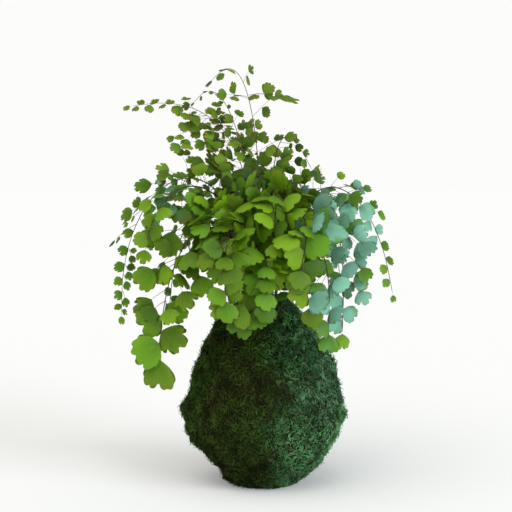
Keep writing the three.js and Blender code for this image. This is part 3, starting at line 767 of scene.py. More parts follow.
class Fern:
    """The whole plant: its fronds grown in order, then filled. It works on one frond at a time."""

    def __init__(self, moss: MossShape, rule: Rule, fill: Fill) -> None:
        """Grows every frond.

        Args:
            moss: The ball that leaflets keep clear of.
            rule: The rule for the fronds.
            fill: The rule for the finer leaflets in their gaps.
        """
        self.moss, self.rule, self.fill = moss, rule, fill
        self.standing, self.stems, self.filling = Standing(rule), 0, False
        self.thickness, self.gap, self.turns = rule.thickness, rule.gap, rule.leaflet_turns
        self.fronds = [self.start(number, plan) for number, plan in enumerate(FRONDS)]
        for frond in self.fronds:
            self.turn_to(frond)
            self.grow(frond)
        self.slim()
        self.filling = True
        for frond in self.fronds:
            self.turn_to(frond, fill.seed)
            self.thicken(frond)
        self.turns = rule.leaflet_turns[: fill.crowd_turns]
        for frond in self.fronds:
            if frond.plan.crowded:
                self.turn_to(frond, 3 * fill.seed)
                self.cover(frond)
                self.turn_to(frond, 2 * fill.seed)
                self.crowd(frond)
        self.filling = False
        for plan in TWIGS:
            self.add_twig(plan)

    def start(self, number: int, plan: FrondPlan) -> Frond:
        """Stands a frond's stalk, a cubic Bezier arch from the crown to its tip.

        Args:
            number: The frond's number.
            plan: Its plan.

        Returns:
            The frond with only its stalk.
        """
        self.frond = Frond(plan, number)
        t = np.linspace(0, 1, self.rule.stalk_steps + 1)[:, None]
        foot = np.array([*plan.foot, self.rule.stalk_foot])
        rise, arch, tip = (np.array(point, float) for point in (plan.rise, plan.arch, plan.tip))
        points = (1 - t) ** 3 * foot + 3 * (1 - t) ** 2 * t * rise + 3 * (1 - t) * t**2 * arch + t**3 * tip
        self.add_stem(points, self.rule.stalk_radius, np.array(plan.faces, float), StemKind.STALK)
        return self.frond

    def turn_to(self, frond: Frond, seed: int = 0) -> None:
        """Takes up a frond, with a chance of its own for each thing that is done to it."""
        self.frond, self.chance = frond, Chance(frond.plan.seed + seed)

    def has_room(self, points: Array, radius: float) -> bool:
        """Returns whether a new stem keeps clear of the moss and of what stands."""
        clear = np.all(self.moss.clear(points[1:]))
        return bool(clear) and self.standing.branch_clear(points, self.frond.number, radius, self.gap)

    def add_stem(self, points: Array, radius: float, normal: Array, kind: StemKind = StemKind.BRANCH) -> Stem:
        """Stands a stem on the frond.

        Args:
            points: Its corners.
            radius: Its radius.
            normal: The way that its leaves face.
            kind: Stalk or branch.

        Returns:
            The stem.
        """
        self.standing.add_stem(points, radius, self.frond.number, self.stems)
        stem = Stem(kind, Path(points), normal, self.stems)
        self.frond.stems.append(stem)
        self.stems += 1
        return stem

    @staticmethod
    def heading(along: Array, normal: Array, side: int, angle: float) -> Array:
        """Returns the way that leaves a stem to one side at an angle, in the plane that a normal faces."""
        outward = np.cross(normal, along) * side
        return along * math.cos(math.radians(angle)) + outward * math.sin(math.radians(angle))

    def leaflet(self, stem: int, foot: Array, along: Array, normal: Array, size: float) -> None:
        """Stands a leaflet the first way that finds room. Chance is drawn whether or not one does.

        Args:
            stem: The number of the stem that it stands on.
            foot: Its foot.
            along: The way it points.
            normal: The way it faces.
            size: Its length.
        """
        rule, frond = self.rule, self.frond
        sagged = unit(along - UP * rule.leaflet_sag)
        tilt = np.array([self.chance.draw() - 0.5 for _ in range(3)]) * rule.tilt_spread
        wanted = size * (1 + rule.size_spread * (self.chance.draw() - 0.5))
        face = square_to(normal + tilt, sagged)
        for turn in self.turns:
            blade = Blade(rule, foot, sagged, face, wanted * turn.size, turn)
            too_high = self.filling and blade.middle[2] > frond.plan.ceiling
            if too_high or not np.all(self.moss.clear(blade.corners)):
                continue
            if self.standing.blade_clear(blade, frond.number, stem, self.thickness, self.gap):
                self.standing.add_blade(blade, frond.number, self.thickness)
                frond.blades.append(blade)
                return

    def tip_leaflet(self, stem: Stem, size: float) -> None:
        """Stands a leaflet at a stem's tip."""
        point, along = stem.path.place(stem.path.length - self.rule.tip_sink)
        self.leaflet(stem.number, point, along, square_to(stem.normal, along), size)

    def side_leaflet(self, stem: Stem, distance: float, side: int, size: float) -> None:
        """Stands a leaflet to one side of a stem.

        Args:
            stem: The stem.
            distance: How far along it.
            side: Which side.
            size: The leaflet's length.
        """
        point, along = stem.path.place(distance)
        normal = square_to(stem.normal, along)
        way = self.heading(along, normal, side, self.rule.leaflet_angle)
        self.leaflet(stem.number, point, way, normal, size)

    def leaflets(self, stem: Stem, size: float) -> None:
        """Grows a branch's leaflets: one at its tip, then the others on alternate sides back to its foot.

        Args:
            stem: The branch.
            size: The leaflets' size.
        """
        rule = self.rule
        side = -1 if self.chance.draw() < 0.5 else 1
        self.tip_leaflet(stem, size)
        distance = stem.path.length - rule.leaflet_last * rule.leaflet_gap * size
        while distance > rule.leaflet_first * size:
            self.side_leaflet(stem, distance, side, size)
            side, distance = -side, distance - rule.leaflet_gap * size

    def add_branch(
        self, distance: float, side: int, reach: float, lifts: tuple[float, ...], radius: float
    ) -> Stem | None:
        """Adds a side branch to the stalk, at the first lift that finds room.

        It leaves the stalk in the plane of the leaves, or lifted out of it, and sags.

        Args:
            distance: Where it leaves the stalk.
            side: Which side.
            reach: Its length.
            lifts: The turns about the stalk to try, in degrees.
            radius: Its radius.

        Returns:
            The branch, or None where none has room.
        """
        rule, stalk = self.rule, self.frond.stems[0]
        point, along = stalk.path.place(distance)
        normal = square_to(stalk.normal, along)
        for lift in lifts:
            way = self.heading(along, turned(normal, along, side * lift), side, rule.branch_angle)
            points = [point, point + way * rule.branch_foot]
            for _ in range(rule.branch_steps):
                way = unit(way - UP * rule.branch_sag / rule.branch_steps)
                points.append(points[-1] + way * (reach - rule.branch_foot) / rule.branch_steps)
            if self.has_room(np.array(points), radius):
                return self.add_stem(np.array(points), radius, normal)
        return None

    def grow(self, frond: Frond) -> None:
        """Grows a frond's branches from the lowest up, near its tip as single leaflets.

        Args:
            frond: The frond, with its stalk.
        """
        rule, plan, stalk = self.rule, frond.plan, frond.stems[0]
        length = stalk.path.length
        self.tip_leaflet(stalk, plan.leaf * plan.ends)
        side = -1 if self.chance.draw() < 0.5 else 1
        distance = length * plan.bare
        while distance < length - rule.stalk_tip:
            share = (distance / length - plan.bare) / (1 - plan.bare)
            size = plan.leaf * (1 - (1 - plan.ends) * share**2)
            reach = plan.reach * (1 - share) * (1 + rule.reach_spread * (self.chance.draw() - 0.5))
            if reach > rule.branch_least:
                stem = self.add_branch(distance, side, reach, rule.branch_lifts, rule.branch_radius)
                if stem:
                    self.leaflets(stem, size * rule.leaflet_on_branch)
                distance += rule.branch_gap * (1 + (rule.branch_gap_at_tip - 1) * share)
            else:
                self.side_leaflet(stalk, distance, side, size)
                distance += rule.leaflet_gap_on_stalk * size
            side = -side

    def slim(self) -> None:
        """Gives what stands its true thinness, which opens room for the finer leaflets."""
        fill, standing = self.fill, self.standing
        standing.thickness[: standing.blades] = fill.thickness
        thick = standing.radius > self.rule.branch_radius
        standing.radius[:] = np.where(thick, fill.stem_radius, fill.branch_radius)
        self.thickness, self.gap = fill.thickness, fill.gap

    def thicken(self, frond: Frond) -> None:
        """Adds finer branches with leaflets all round a frond's stalk, where there is room for them.

        Args:
            frond: The frond.
        """
        fill, plan, stalk = self.fill, frond.plan, frond.stems[0]
        length = stalk.path.length
        distance = length * plan.bare * fill.from_share
        while distance < length - self.rule.stalk_tip:
            share = max(0, (distance / length - plan.bare) / (1 - plan.bare))
            for side in (-1, 1):
                reach = plan.reach * fill.reach * (1 - share) * (0.5 + 0.5 * self.chance.draw())
                size = plan.leaf * (fill.size[0] + (fill.size[1] - fill.size[0]) * self.chance.draw())
                if reach <= fill.least:
                    continue
                stem = self.add_branch(distance, side, reach, fill.lifts, fill.branch_radius)
                if stem:
                    stem.normal = unit(stalk.normal * fill.facing)
                    blades = len(frond.blades)
                    self.leaflets(stem, size)
                    if len(frond.blades) == blades:
                        frond.stems.remove(stem)
            closeness = plan.fill[0] if distance < length * fill.shoulder else plan.fill[1]
            if not closeness:
                return
            distance += fill.step / closeness

    def crowd(self, frond: Frond) -> None:
        """Adds leaflets on both sides of every stem of a frond, wherever one still finds room.

        Args:
            frond: The frond.
        """
        size = frond.plan.leaf * self.fill.size[0]
        for stem in list(frond.stems):
            length = stem.path.length
            on_branch = stem.kind is StemKind.BRANCH
            least = size * self.rule.leaflet_first if on_branch else length * frond.plan.bare
            distance = length - self.rule.stalk_tip
            while distance > least:
                for side in (-1, 1):
                    self.side_leaflet(stem, distance, side, size)
                distance -= self.fill.crowd * size

    def cover(self, frond: Frond) -> None:
        """Hides a frond's stalk: short twigs stand out of its front, each with a leaflet before it.

        Args:
            frond: The frond.
        """
        fill, plan, stalk = self.fill, frond.plan, frond.stems[0]
        distance = stalk.path.length - self.rule.stalk_tip
        while distance > stalk.path.length * plan.bare:
            point, along = stalk.path.place(distance)
            normal = square_to(stalk.normal, along)
            reach = fill.cover_reach[0] + (fill.cover_reach[1] - fill.cover_reach[0]) * self.chance.draw()
            steps = np.array(fill.cover_bend)[:, None] * reach
            twig = point + normal * steps + along * steps**2 / (2 * reach)
            lean = math.radians(fill.cover_lean)
            way = along * math.cos(lean) + normal * math.sin(lean)
            if self.has_room(twig, fill.branch_radius):
                blades = len(frond.blades)
                for share in fill.cover_sizes:
                    if len(frond.blades) == blades:
                        size = plan.leaf * fill.size[0] * share
                        self.leaflet(self.stems, twig[-1], way, normal, size)
                if len(frond.blades) > blades:
                    self.add_stem(twig, fill.branch_radius, normal)
            distance -= fill.cover_step * plan.leaf

    def add_twig(self, plan: TwigPlan) -> None:
        """Adds one planned twig with a leaflet at its tip and others on alternate sides.

        It rises along its way and sags by a share of its length times the square of the share along it.

        Args:
            plan: The twig's plan.
        """
        frond = next(frond for frond in self.fronds if frond.plan.name == plan.frond)
        self.turn_to(frond, round(plan.at * 100))
        stalk, fill = frond.stems[0].path, self.fill
        foot, _ = stalk.place(plan.at * stalk.length)
        share = np.linspace(0, 1, 4)[:, None]
        points = foot + plan.length * (unit(np.array(plan.way)) * share - UP * share**2 / fill.twig_sag)
        stem = self.add_stem(points, fill.branch_radius, unit(np.array(plan.faces, float)))
        self.tip_leaflet(stem, plan.sizes[1])
        length = stem.path.length
        side, distance = 1, length - fill.twig_gaps[0] * plan.sizes[1]
        while distance > plan.bare * length:
            size = plan.sizes[0] + (plan.sizes[1] - plan.sizes[0]) * distance / length
            self.side_leaflet(stem, distance, side, size)
            side, distance = -side, distance - fill.twig_gaps[1] * size


@dataclass
class Block:
    """Some points, the faces between them and their marks. A leaf map has a place for each corner."""

    points: Array
    faces: tuple[Array, ...]
    finish: int = 0
    marks: dict[str, Array | float] = field(default_factory=dict)
    uv: Array | None = None

    def leaf_map(self) -> Array:
        """Returns the leaf map's places, or zeros where the block has none."""
        return self.uv if self.uv is not None else np.zeros((sum(part.size for part in self.faces), 2))


def closed_faces(rows: int, columns: int) -> tuple[Array, Array, Array]:
    """The faces of a grid of rings with a point beyond each end.

    Args:
        rows: Rings.
        columns: Points in each ring.

    Returns:
        The quads between the rings, turning left as seen with rows up and columns to the right, the fan from
        the first ring to the point after the grid, and the fan from the last ring to the point after that.
    """
    row, place = np.meshgrid(np.arange(rows - 1), np.arange(columns), indexing="ij")
    here, aside = (row * columns + place).ravel(), (row * columns + (place + 1) % columns).ravel()
    quads = np.column_stack([here, aside, aside + columns, here + columns])
    place, end = np.arange(columns), (rows - 1) * columns
    after, beyond = (place + 1) % columns, rows * columns + 0 * place
    foot, roof = (beyond, after, place), (beyond + 1, end + place, end + after)
    return quads, np.column_stack(foot), np.column_stack(roof)


def copies(faces: Array, count: int, points: int) -> Array:
    """Returns the faces of a shape repeated count times, each copy with that many points."""
    return (faces[None] + (np.arange(count) * points)[:, None, None]).reshape(-1, faces.shape[1])


def make_piece(name: str, blocks: list[Block], finishes: list[Material], crease: float) -> Piece:
    """Writes blocks of points and faces into one mesh object at the origin.

    Args:
        name: The piece's name.
        blocks: What it is made of.
        finishes: Its materials, in the order of the blocks' finish numbers.
        crease: The angle in degrees above which an edge stays sharp.

    Returns:
        The object.
    """
    starts = np.cumsum([0] + [len(block.points) for block in blocks])
    parts = [(part + start, block.finish) for block, start in zip(blocks, starts) for part in block.faces]
    corners = np.concatenate([part.ravel() for part, _ in parts])
    sizes = np.concatenate([np.full(len(part), part.shape[1]) for part, _ in parts])
    slots = np.concatenate([np.full(len(part), finish) for part, finish in parts])
    mesh = bpy.data.meshes.new(name)
    points = np.concatenate([block.points for block in blocks]) * MM
    mesh.vertices.add(len(points))
    mesh.vertices.foreach_set("co", points.astype(np.float32).ravel())
    mesh.loops.add(len(corners))
    mesh.loops.foreach_set("vertex_index", corners.astype(np.int32))
    mesh.polygons.add(len(sizes))
    mesh.polygons.foreach_set("loop_start", (np.cumsum(sizes) - sizes).astype(np.int32))
    mesh.polygons.foreach_set("material_index", slots.astype(np.int32))
    mesh.polygons.foreach_set("use_smooth", np.ones(len(sizes), bool))
    for mark in sorted({key for block in blocks for key in block.marks}):
        values = [np.broadcast_to(b.marks.get(mark, 0.0), len(b.points)) for b in blocks]
        layer = mesh.attributes.new(mark, "FLOAT", "POINT")
        layer.data.foreach_set("value", np.concatenate(values).astype(np.float32))
    if any(block.uv is not None for block in blocks):
        places = np.concatenate([block.leaf_map() for block in blocks])
        mesh.uv_layers.new(name="leaf").uv.foreach_set("vector", places.astype(np.float32).ravel())
    for finish in finishes:
        mesh.materials.append(finish)
    mesh.validate()
    mesh.update(calc_edges=True)
    mesh.set_sharp_from_angle(angle=math.radians(crease))
    piece = bpy.data.objects.new(name, mesh)
    bpy.context.scene.collection.objects.link(piece)
    return piece


def tubes(paths: Array, radii: Array, sides: int, flat: float = 1.0) -> tuple[Array, Array]:
    """Round tubes along curves, all at once, each drawn in to a point at both ends.

    Each section is a ring square to its curve. Its first direction is the curve's own flat side, found as the
    cross product of the way from end to end with a slanted direction, and kept square to the curve all along.

    Args:
        paths: The curves, (tubes, steps, 3), from one closing point to the other.
        radii: The radii at the points between those two, (tubes, steps - 2).
        sides: Points round each section.
        flat: The share that a section is narrowed by in its second direction.

    Returns:
        The points, (tubes * ((steps - 2) * sides + 2), 3), and the faces as triangles.
    """
    count, rings = len(paths), paths.shape[1] - 2
    along = unit(np.gradient(paths, axis=1))[:, 1:-1]
    across = np.cross(paths[:, -1] - paths[:, 0], SLANTED)
    side = square_to(unit(across)[:, None], along)
    other = np.cross(along, side)
    angle = np.arange(sides) / sides * 2 * math.pi
    ring = side[:, :, None] * np.cos(angle)[:, None] + other[:, :, None] * np.sin(angle)[:, None] * flat
    walls = paths[:, 1:-1, None] + ring * radii[:, :, None, None]
    points = np.concatenate([walls.reshape(count, -1, 3), paths[:, :1], paths[:, -1:]], axis=1)
    quads, foot, tip = closed_faces(rings, sides)
    faces = np.concatenate([quads[:, [0, 1, 2]], quads[:, [0, 2, 3]], foot, tip])
    return points.reshape(-1, 3), copies(faces, count, rings * sides + 2)


class Nodes:
    """A node tree with short ways to add and join its nodes."""

    def __init__(self, tree: Tree) -> None:
        """Keeps the tree."""
        self.tree = tree

    def add(self, kind: str, inputs: dict | None = None, **settings: object) -> bpy.types.Node:
        """Adds a node.

        Args:
            kind: The node's type, without the ShaderNode before it.
            inputs: Values or outputs for its inputs.
            **settings: Its own properties.

        Returns:
            The node.
        """
        node = self.tree.nodes.new(kind if kind.startswith("NodeGroup") else "ShaderNode" + kind)
        for key, value in settings.items():
            setattr(node, key, value)
        for key, value in (inputs or {}).items():
            self.set(node.inputs[key], value)
        return node

    def set(self, socket: Socket, value: object) -> None:
        """Joins an output to an input, or sets the input's own value.

        Args:
            socket: The input.
            value: The output or the value.
        """
        if isinstance(value, Socket):
            self.tree.links.new(value, socket)
        else:
            socket.default_value = value

    def math(self, operation: str, first: object, second: object = 0.0) -> Socket:
        """Returns the output of a Math node."""
        return self.add("Math", {0: first, 1: second}, operation=operation).outputs[0]

    def mix(self, share: object, first: object, second: object) -> Socket:
        """Returns a mix of two colours."""
        return self.add("Mix", {"Factor": share, 6: first, 7: second}, data_type="RGBA").outputs[2]

    def spread(
        self, value: object, low: object, high: object, to_low: float = 0, to_high: float = 1
    ) -> Socket:
        """Returns a value moved smoothly from one range to another and held there."""
        inputs = {"Value": value, "From Min": low, "From Max": high, "To Min": to_low, "To Max": to_high}
        return self.add("MapRange", inputs, interpolation_type="SMOOTHSTEP").outputs[0]

    def mark(self, name: str) -> Socket:
        """Returns a number marked on the mesh's points."""
        return self.add("Attribute", attribute_name=name).outputs["Fac"]

    def place(self) -> Socket:
        """Returns the place in the piece's own space."""
        return self.add("TexCoord").outputs["Object"]


def mottle_group() -> Tree:
    """Makes the shared mottling: two sizes of soft blotches in one mask.

    Returns:
        The group, with inputs Vector, Scale and Sharpness and output Mask.
    """
    finer, broad_share, fine_share = 5.3, 0.7, 0.3
    group = bpy.data.node_groups.new("mottle", "ShaderNodeTree")
    group.interface.new_socket("Vector", in_out="INPUT", socket_type="NodeSocketVector")
    for name, value in (("Scale", 60), ("Sharpness", 0.2)):
        socket = group.interface.new_socket(name, in_out="INPUT", socket_type="NodeSocketFloat")
        socket.default_value = value
    group.interface.new_socket("Mask", in_out="OUTPUT", socket_type="NodeSocketFloat")
    nodes = Nodes(group)
    vector, scale, sharpness = nodes.add("NodeGroupInput").outputs[:3]
    broad = nodes.add("TexNoise", {"Vector": vector, "Scale": scale, "Detail": 3})
    scale = nodes.math("MULTIPLY", scale, finer)
    fine = nodes.add("TexNoise", {"Vector": vector, "Scale": scale, "Detail": 2})
    main = nodes.math("MULTIPLY", broad.outputs["Fac"], broad_share)
    both = nodes.math("ADD", main, nodes.math("MULTIPLY", fine.outputs["Fac"], fine_share))
    low, high = nodes.math("SUBTRACT", 0.5, sharpness), nodes.math("ADD", 0.5, sharpness)
    nodes.add("NodeGroupOutput", {"Mask": nodes.spread(both, low, high)})
    return group


class Finish:
    """What every finish here shares: a material with one Principled shader and its node tree."""

    def __init__(self, name: str, mottle: Tree, **uniform: object) -> None:
        """Makes the material.

        Args:
            name: The material's name.
            mottle: The shared mottling.
            **uniform: Values that are the same all over, by the shader's socket names with _ for spaces.
        """
        self.material = bpy.data.materials.new(name)
        self.material.use_nodes = True
        self.nodes = Nodes(self.material.node_tree)
        self.shader = self.material.node_tree.nodes["Principled BSDF"]
        self.mottle = mottle
        for key, value in uniform.items():
            self.shader.inputs[key.replace("_", " ")].default_value = value

    def blotches(self, scale: float, sharpness: float) -> Socket:
        """Returns the mask of the shared mottling in the piece's own space."""
        inputs = {"Vector": self.nodes.place(), "Scale": scale, "Sharpness": sharpness}
        return self.nodes.add("Group", inputs, node_tree=self.mottle).outputs["Mask"]

    def lit(self, colour: object, light: object) -> Socket:
        """Returns a colour made lighter or darker."""
        return self.nodes.add("HueSaturation", {"Value": light, "Color": colour}).outputs[0]

    def surface(self, colour: object, roughness: object, height: object, depth: float) -> Material:
        """Joins colour, roughness and relief to the shader.

        Args:
            colour: The base colour.
            roughness: The roughness.
            height: The relief, from 0 to 1.
            depth: How deep the relief is, in metres.

        Returns:
            The material.
        """
        bump = self.nodes.add("Bump", {"Height": height, "Distance": depth, "Strength": 1})
        joins = {"Base Color": colour, "Roughness": roughness, "Normal": bump.outputs["Normal"]}
        for key, value in joins.items():
            self.nodes.set(self.shader.inputs[key], value)
        return self.material


@dataclass(frozen=True)
class LeafFinish:
    """A leaflet's skin: greens by leaf, fine veins that fan out and fork, and a dry rim on old leaves. Its
    blue-green is partly its own hue and partly painted reflection, and its lightness holds painted shade,
    darker also towards its foot.

    Veins are a wave across the leaf map's u, with twice as many in its outer part.
    """

    yellow_green: Colour = (0.15, 0.265, 0.003, 1)
    mid_green: Colour = (0.075, 0.2, 0.005, 1)
    # Blue-green is partly the leaflets' own hue and partly painted reflection in the sheen spots.
    blue_green_and_sheen: Colour = (0.18, 0.42, 0.34, 1)
    vein: Colour = (0.24, 0.4, 0.07, 1)
    rim: Colour = (0.2, 0.13, 0.02, 1)
    waves: Pair = (34.6, 69.1)
    forks: Pair = (0.35, 0.6)
    vein_width: float = 0.45
    vein_share: float = 0.3
    blotches: Pair = (160, 0.3)
    blotch_share: float = 0.35
    light: Pair = (0.3, 1.3)
    light_outward: Pair = (0.72, 1.06)
    roughness: Pair = (0.42, 0.58)
    relief: float = 0.00018

    def build(self, mottle: Tree) -> Material:
        """Makes the material.

        Args:
            mottle: The shared mottling.

        Returns:
            The material.
        """
        finish = Finish(
            "maidenhair_leaf",
            mottle,
            Specular_IOR_Level=0.22,
            Subsurface_Weight=0.12,
            Subsurface_Radius=(0.6, 1.0, 0.2),
            Subsurface_Scale=0.001,
        )
        nodes = finish.nodes
        tint, shade, age = (nodes.mark(name) for name in ("tint", "shade", "age"))
        colour = nodes.mix(nodes.spread(tint, 0.05, 0.55), self.yellow_green, self.mid_green)
        colour = nodes.mix(nodes.spread(tint, 0.5, 1), colour, self.blue_green_and_sheen)
        uv = nodes.add("SeparateXYZ", {0: nodes.add("TexCoord").outputs["UV"]})
        across, out = uv.outputs[0], uv.outputs[1]
        few, many = (
            nodes.math("ABSOLUTE", nodes.math("SINE", nodes.math("MULTIPLY", across, wave)))
            for wave in self.waves
        )
        forks = nodes.spread(out, *self.forks)
        inner = nodes.math("MULTIPLY", few, nodes.math("SUBTRACT", 1, forks))
        wave = nodes.math("ADD", inner, nodes.math("MULTIPLY", many, forks))
        vein = nodes.math("SUBTRACT", 1, nodes.spread(wave, 0, self.vein_width))
        blotch = finish.blotches(*self.blotches)
        colour = nodes.mix(nodes.math("MULTIPLY", vein, self.vein_share), colour, self.vein)
        colour = nodes.mix(nodes.math("MULTIPLY", blotch, self.blotch_share), colour, self.mid_green)
        edge = nodes.math("MULTIPLY", nodes.spread(out, 0.72, 1), age)
        colour = nodes.mix(edge, colour, self.rim)
        # Painted shade: lightness follows the shade mark and is darker towards each leaflet's foot.
        light = nodes.spread(shade, -0.5, 1, *self.light)
        light = nodes.math("MULTIPLY", light, nodes.spread(out, 0, 0.85, *self.light_outward))
        colour = finish.lit(colour, light)
        rough = nodes.spread(blotch, 0, 1, *self.roughness)
        height = nodes.math("ADD", nodes.math("MULTIPLY", vein, 0.5), nodes.math("MULTIPLY", blotch, 0.5))
        return finish.surface(colour, rough, height, self.relief)


@dataclass(frozen=True)
class StemFinish:
    """A wiry stem, near black below, and a redder brown towards thin ends and in the top of the plant."""

    black: Colour = (0.018, 0.009, 0.006, 1)
    red: Colour = (0.12, 0.045, 0.02, 1)
    worn: Colour = (0.04, 0.016, 0.01, 1)
    red_from: Pair = (0.24, 0.31)
    blotches: Pair = (300, 0.25)
    blotch_share: float = 0.4
    roughness: Pair = (0.3, 0.5)
    relief: float = 0.00005

    def build(self, mottle: Tree) -> Material:
        """Makes the material.

        Args:
            mottle: The shared mottling.

        Returns:
            The material.
        """
        finish = Finish("maidenhair_stem", mottle, Specular_IOR_Level=0.5)
        nodes = finish.nodes
        height = nodes.add("SeparateXYZ", {0: nodes.place()}).outputs[2]
        red = nodes.math("MAXIMUM", nodes.spread(height, *self.red_from), nodes.mark("thin"))
        colour = nodes.mix(red, self.black, self.red)
        blotch = finish.blotches(*self.blotches)
        colour = nodes.mix(nodes.math("MULTIPLY", blotch, self.blotch_share), colour, self.worn)
        return finish.surface(colour, nodes.spread(blotch, 0, 1, *self.roughness), blotch, self.relief)


@dataclass(frozen=True)
class MossFinish:
    """Moss: dark at its roots and paler at its tips, in patches of olive, green and brown, with straw fibres.

    It is painted bluer and lighter to the right of x = 0, as if lit from there, most of all round one spot of
    painted sheen, and it has painted shade at the foot on the left.
    """

    root: Colour = (0.006, 0.009, 0.002, 1)
    olive: Colour = (0.05, 0.078, 0.003, 1)
    green: Colour = (0.036, 0.13, 0.006, 1)
    # Painted light: the lit blue-green that the right side is tinted towards.
    painted_sheen: Colour = (0.12, 0.46, 0.17, 1)
    straw: Colour = (0.13, 0.19, 0.06, 1)
    # Dry fibres on the right: straw with painted light.
    pale: Colour = (0.34, 0.56, 0.3, 1)
    brown: Colour = (0.06, 0.032, 0.008, 1)
    # Painted sheen: the pale blue-green of one lit spot on the right.
    sheen_spot: Colour = (0.15, 0.37, 0.22, 1)
    patches: Pair = (28, 0.16)
    grains: Pair = (110, 0.2)
    rust: Pair = (46, 0.14)
    sheen_from: Pair = (-0.004, 0.036)
    ragged: float = 0.02
    sheen_spot_at: Pair = (0.046, 0.08)
    sheen_spot_reach: Pair = (0.012, 0.045)
    sheen_spot_share: float = 0.7
    rust_share: float = 0.55
    grain_share: float = 0.4
    light: Pair = (0.6, 2)
    foot_from: Pair = (0.01, 0.06)
    # Painted shade: the left of the foot is darkened by this share.
    foot_painted_shade: float = 0.5
    roughness: Pair = (0.7, 0.95)
    relief: float = 0.0004

    def build(self, mottle: Tree) -> Material:
        """Makes the material.

        Args:
            mottle: The shared mottling.

        Returns:
            The material.
        """
        finish = Finish("sheet_moss", mottle, Specular_IOR_Level=0.1)
        nodes = finish.nodes
        place = nodes.add("SeparateXYZ", {0: nodes.place()})
        aside, height = place.outputs[0], place.outputs[2]
        patch, fine = finish.blotches(*self.patches), finish.blotches(*self.grains)
        colour = nodes.mix(patch, self.olive, self.green)
        ragged = nodes.math("MULTIPLY", nodes.math("SUBTRACT", patch, 0.5), self.ragged)
        # Painted light: bluer and lighter to the right of x = 0, by each strand's sheen level.
        right = nodes.spread(nodes.math("ADD", aside, ragged), *self.sheen_from)
        colour = nodes.mix(nodes.math("MULTIPLY", right, nodes.mark("fresh")), colour, self.painted_sheen)
        # Painted sheen round one spot on the right.
        apart = [
            nodes.math("ABSOLUTE", nodes.math("SUBTRACT", *pair))
            for pair in zip((aside, height), self.sheen_spot_at)
        ]
        sheen = nodes.spread(nodes.math("ADD", *apart), *self.sheen_spot_reach, self.sheen_spot_share, 0)
        colour = nodes.mix(nodes.math("MULTIPLY", sheen, nodes.mark("fresh")), colour, self.sheen_spot)
        rust = nodes.spread(finish.blotches(*self.rust), 0.55, 1, 0, self.rust_share)
        rust = nodes.math("MAXIMUM", rust, nodes.spread(fine, 0.6, 1, 0, self.grain_share))
        colour = nodes.mix(rust, colour, self.brown)
        # Dry fibres are straw, painted paler to the right of x = 0 where the light falls.
        colour = nodes.mix(nodes.mark("dry"), colour, nodes.mix(right, self.straw, self.pale))
        colour = nodes.mix(nodes.mark("tipward"), self.root, colour)
        light = nodes.spread(nodes.mark("shade"), 0, 1, *self.light)
        # Painted shade at the foot on the left, away from the light.
        left = nodes.math("SUBTRACT", 1, right)
        foot = nodes.math("MULTIPLY", left, nodes.spread(height, *self.foot_from, self.foot_painted_shade, 0))
        light = nodes.math("MULTIPLY", light, nodes.math("SUBTRACT", 1, foot))
        colour = finish.lit(colour, light)
        rough = nodes.spread(fine, 0, 1, *self.roughness)
        return finish.surface(colour, rough, fine, self.relief)


@dataclass(frozen=True)
class EarthFinish:
    """Soil or bark: crumbly, dull and mottled between the brown of its hollows and that of its grains."""

    name: str
    dark: Colour
    light: Colour
    broad: Pair = (90, 0.2)
    fine: Pair = (420, 0.25)
    roughness: Pair = (0.75, 0.98)
    relief: float = 0.0012

    def build(self, mottle: Tree) -> Material:
        """Makes the material.

        Args:
            mottle: The shared mottling.

        Returns:
            The material.
        """
        finish = Finish(self.name, mottle, Specular_IOR_Level=0.3)
        broad, fine = finish.blotches(*self.broad), finish.blotches(*self.fine)
        both = finish.nodes.math("MULTIPLY", broad, fine)
        colour = finish.nodes.mix(both, self.dark, self.light)
        return finish.surface(colour, finish.nodes.spread(fine, 0, 1, *self.roughness), both, self.relief)


@dataclass(frozen=True)
class LeafMesh:
    """How a leaflet is cut, how it waves and cups, and how the leaflets differ by where they are.

    Ranges of two numbers are the least and the most that chance gives, or where a change begins and is full.
    A sheen spot has its x, its z, its reach and how blue it is: leaflets there get a painted reflection.
    """

    spokes: int = 8
    steps: int = 4
    middle: float = 0.6
    thickness: float = 0.3
    foot: float = 0.6
    half_angle: Pair = (52, 64)
    side_share: Pair = (0.62, 0.78)
    corner: Pair = (0.05, 16)
    lobe_depth: Pair = (0.08, 0.3)
    scallop_depth: Pair = (0.07, 0.17)
    shift: float = 0.02
    uneven: float = 0.06
    phase: Pair = (0, 6)
    ripple: float = 0.03
    ripples: Pair = (3, 7)
    fold: float = 0.12
    small_from: Pair = (225, 280)
    small_share: float = 0.4
    large_from: Pair = (96, 140)
    large_share: float = 0.35
    tint_spread: float = 0.45
    # Spots of painted reflection, where leaflets are tinted blue-green as if they mirror a cool light.
    sheen_spots: tuple[tuple[float, float, float, float], ...] = (
        (61, 216, 28, 0.75),
        (65, 186, 30, 0.9),
        (63, 144, 25, 0.65),
        (94, 250, 22, 0.35),
        (-10, 140, 26, 0.12),
        (-77, 232, 22, 0.25),
        (-66, 290, 10, 0.5),
    )
    # How the painted reflection fades, breaks into patches and is shared out over the leaflets.
    sheen_core: float = 0.6
    sheen_grain: float = 8
    sheen_patches: float = 0.9
    sheen_jitter: float = 8
    sheen_share: float = 0.75
    old_from: Pair = (0.9, 0.98)
    old_age: Pair = (0.2, 0.8)
    top_from: Pair = (222, 300)
    top_age: float = 0.8
    # Painted shade: leaflets near the top of the plant are darkened by this share.
    top_painted_shade: float = 0.5
    top_olive: float = 0.2
    # Painted shade inside the plant near its axis: leaflets there are darker and bluer.
    inner_from: Pair = (22, 62)
    inner_painted_shade: float = 0.5
    inner_shade_blue: float = 0.15
    petiole_radius: float = 0.2
    petiole_taper: Pair = (1, 0.75)
    petiole_rings: tuple[float, ...] = (0, 0.1, 0.55, 1)
    petiole_into: float = 0.14
    petiole_thin: float = 0.5


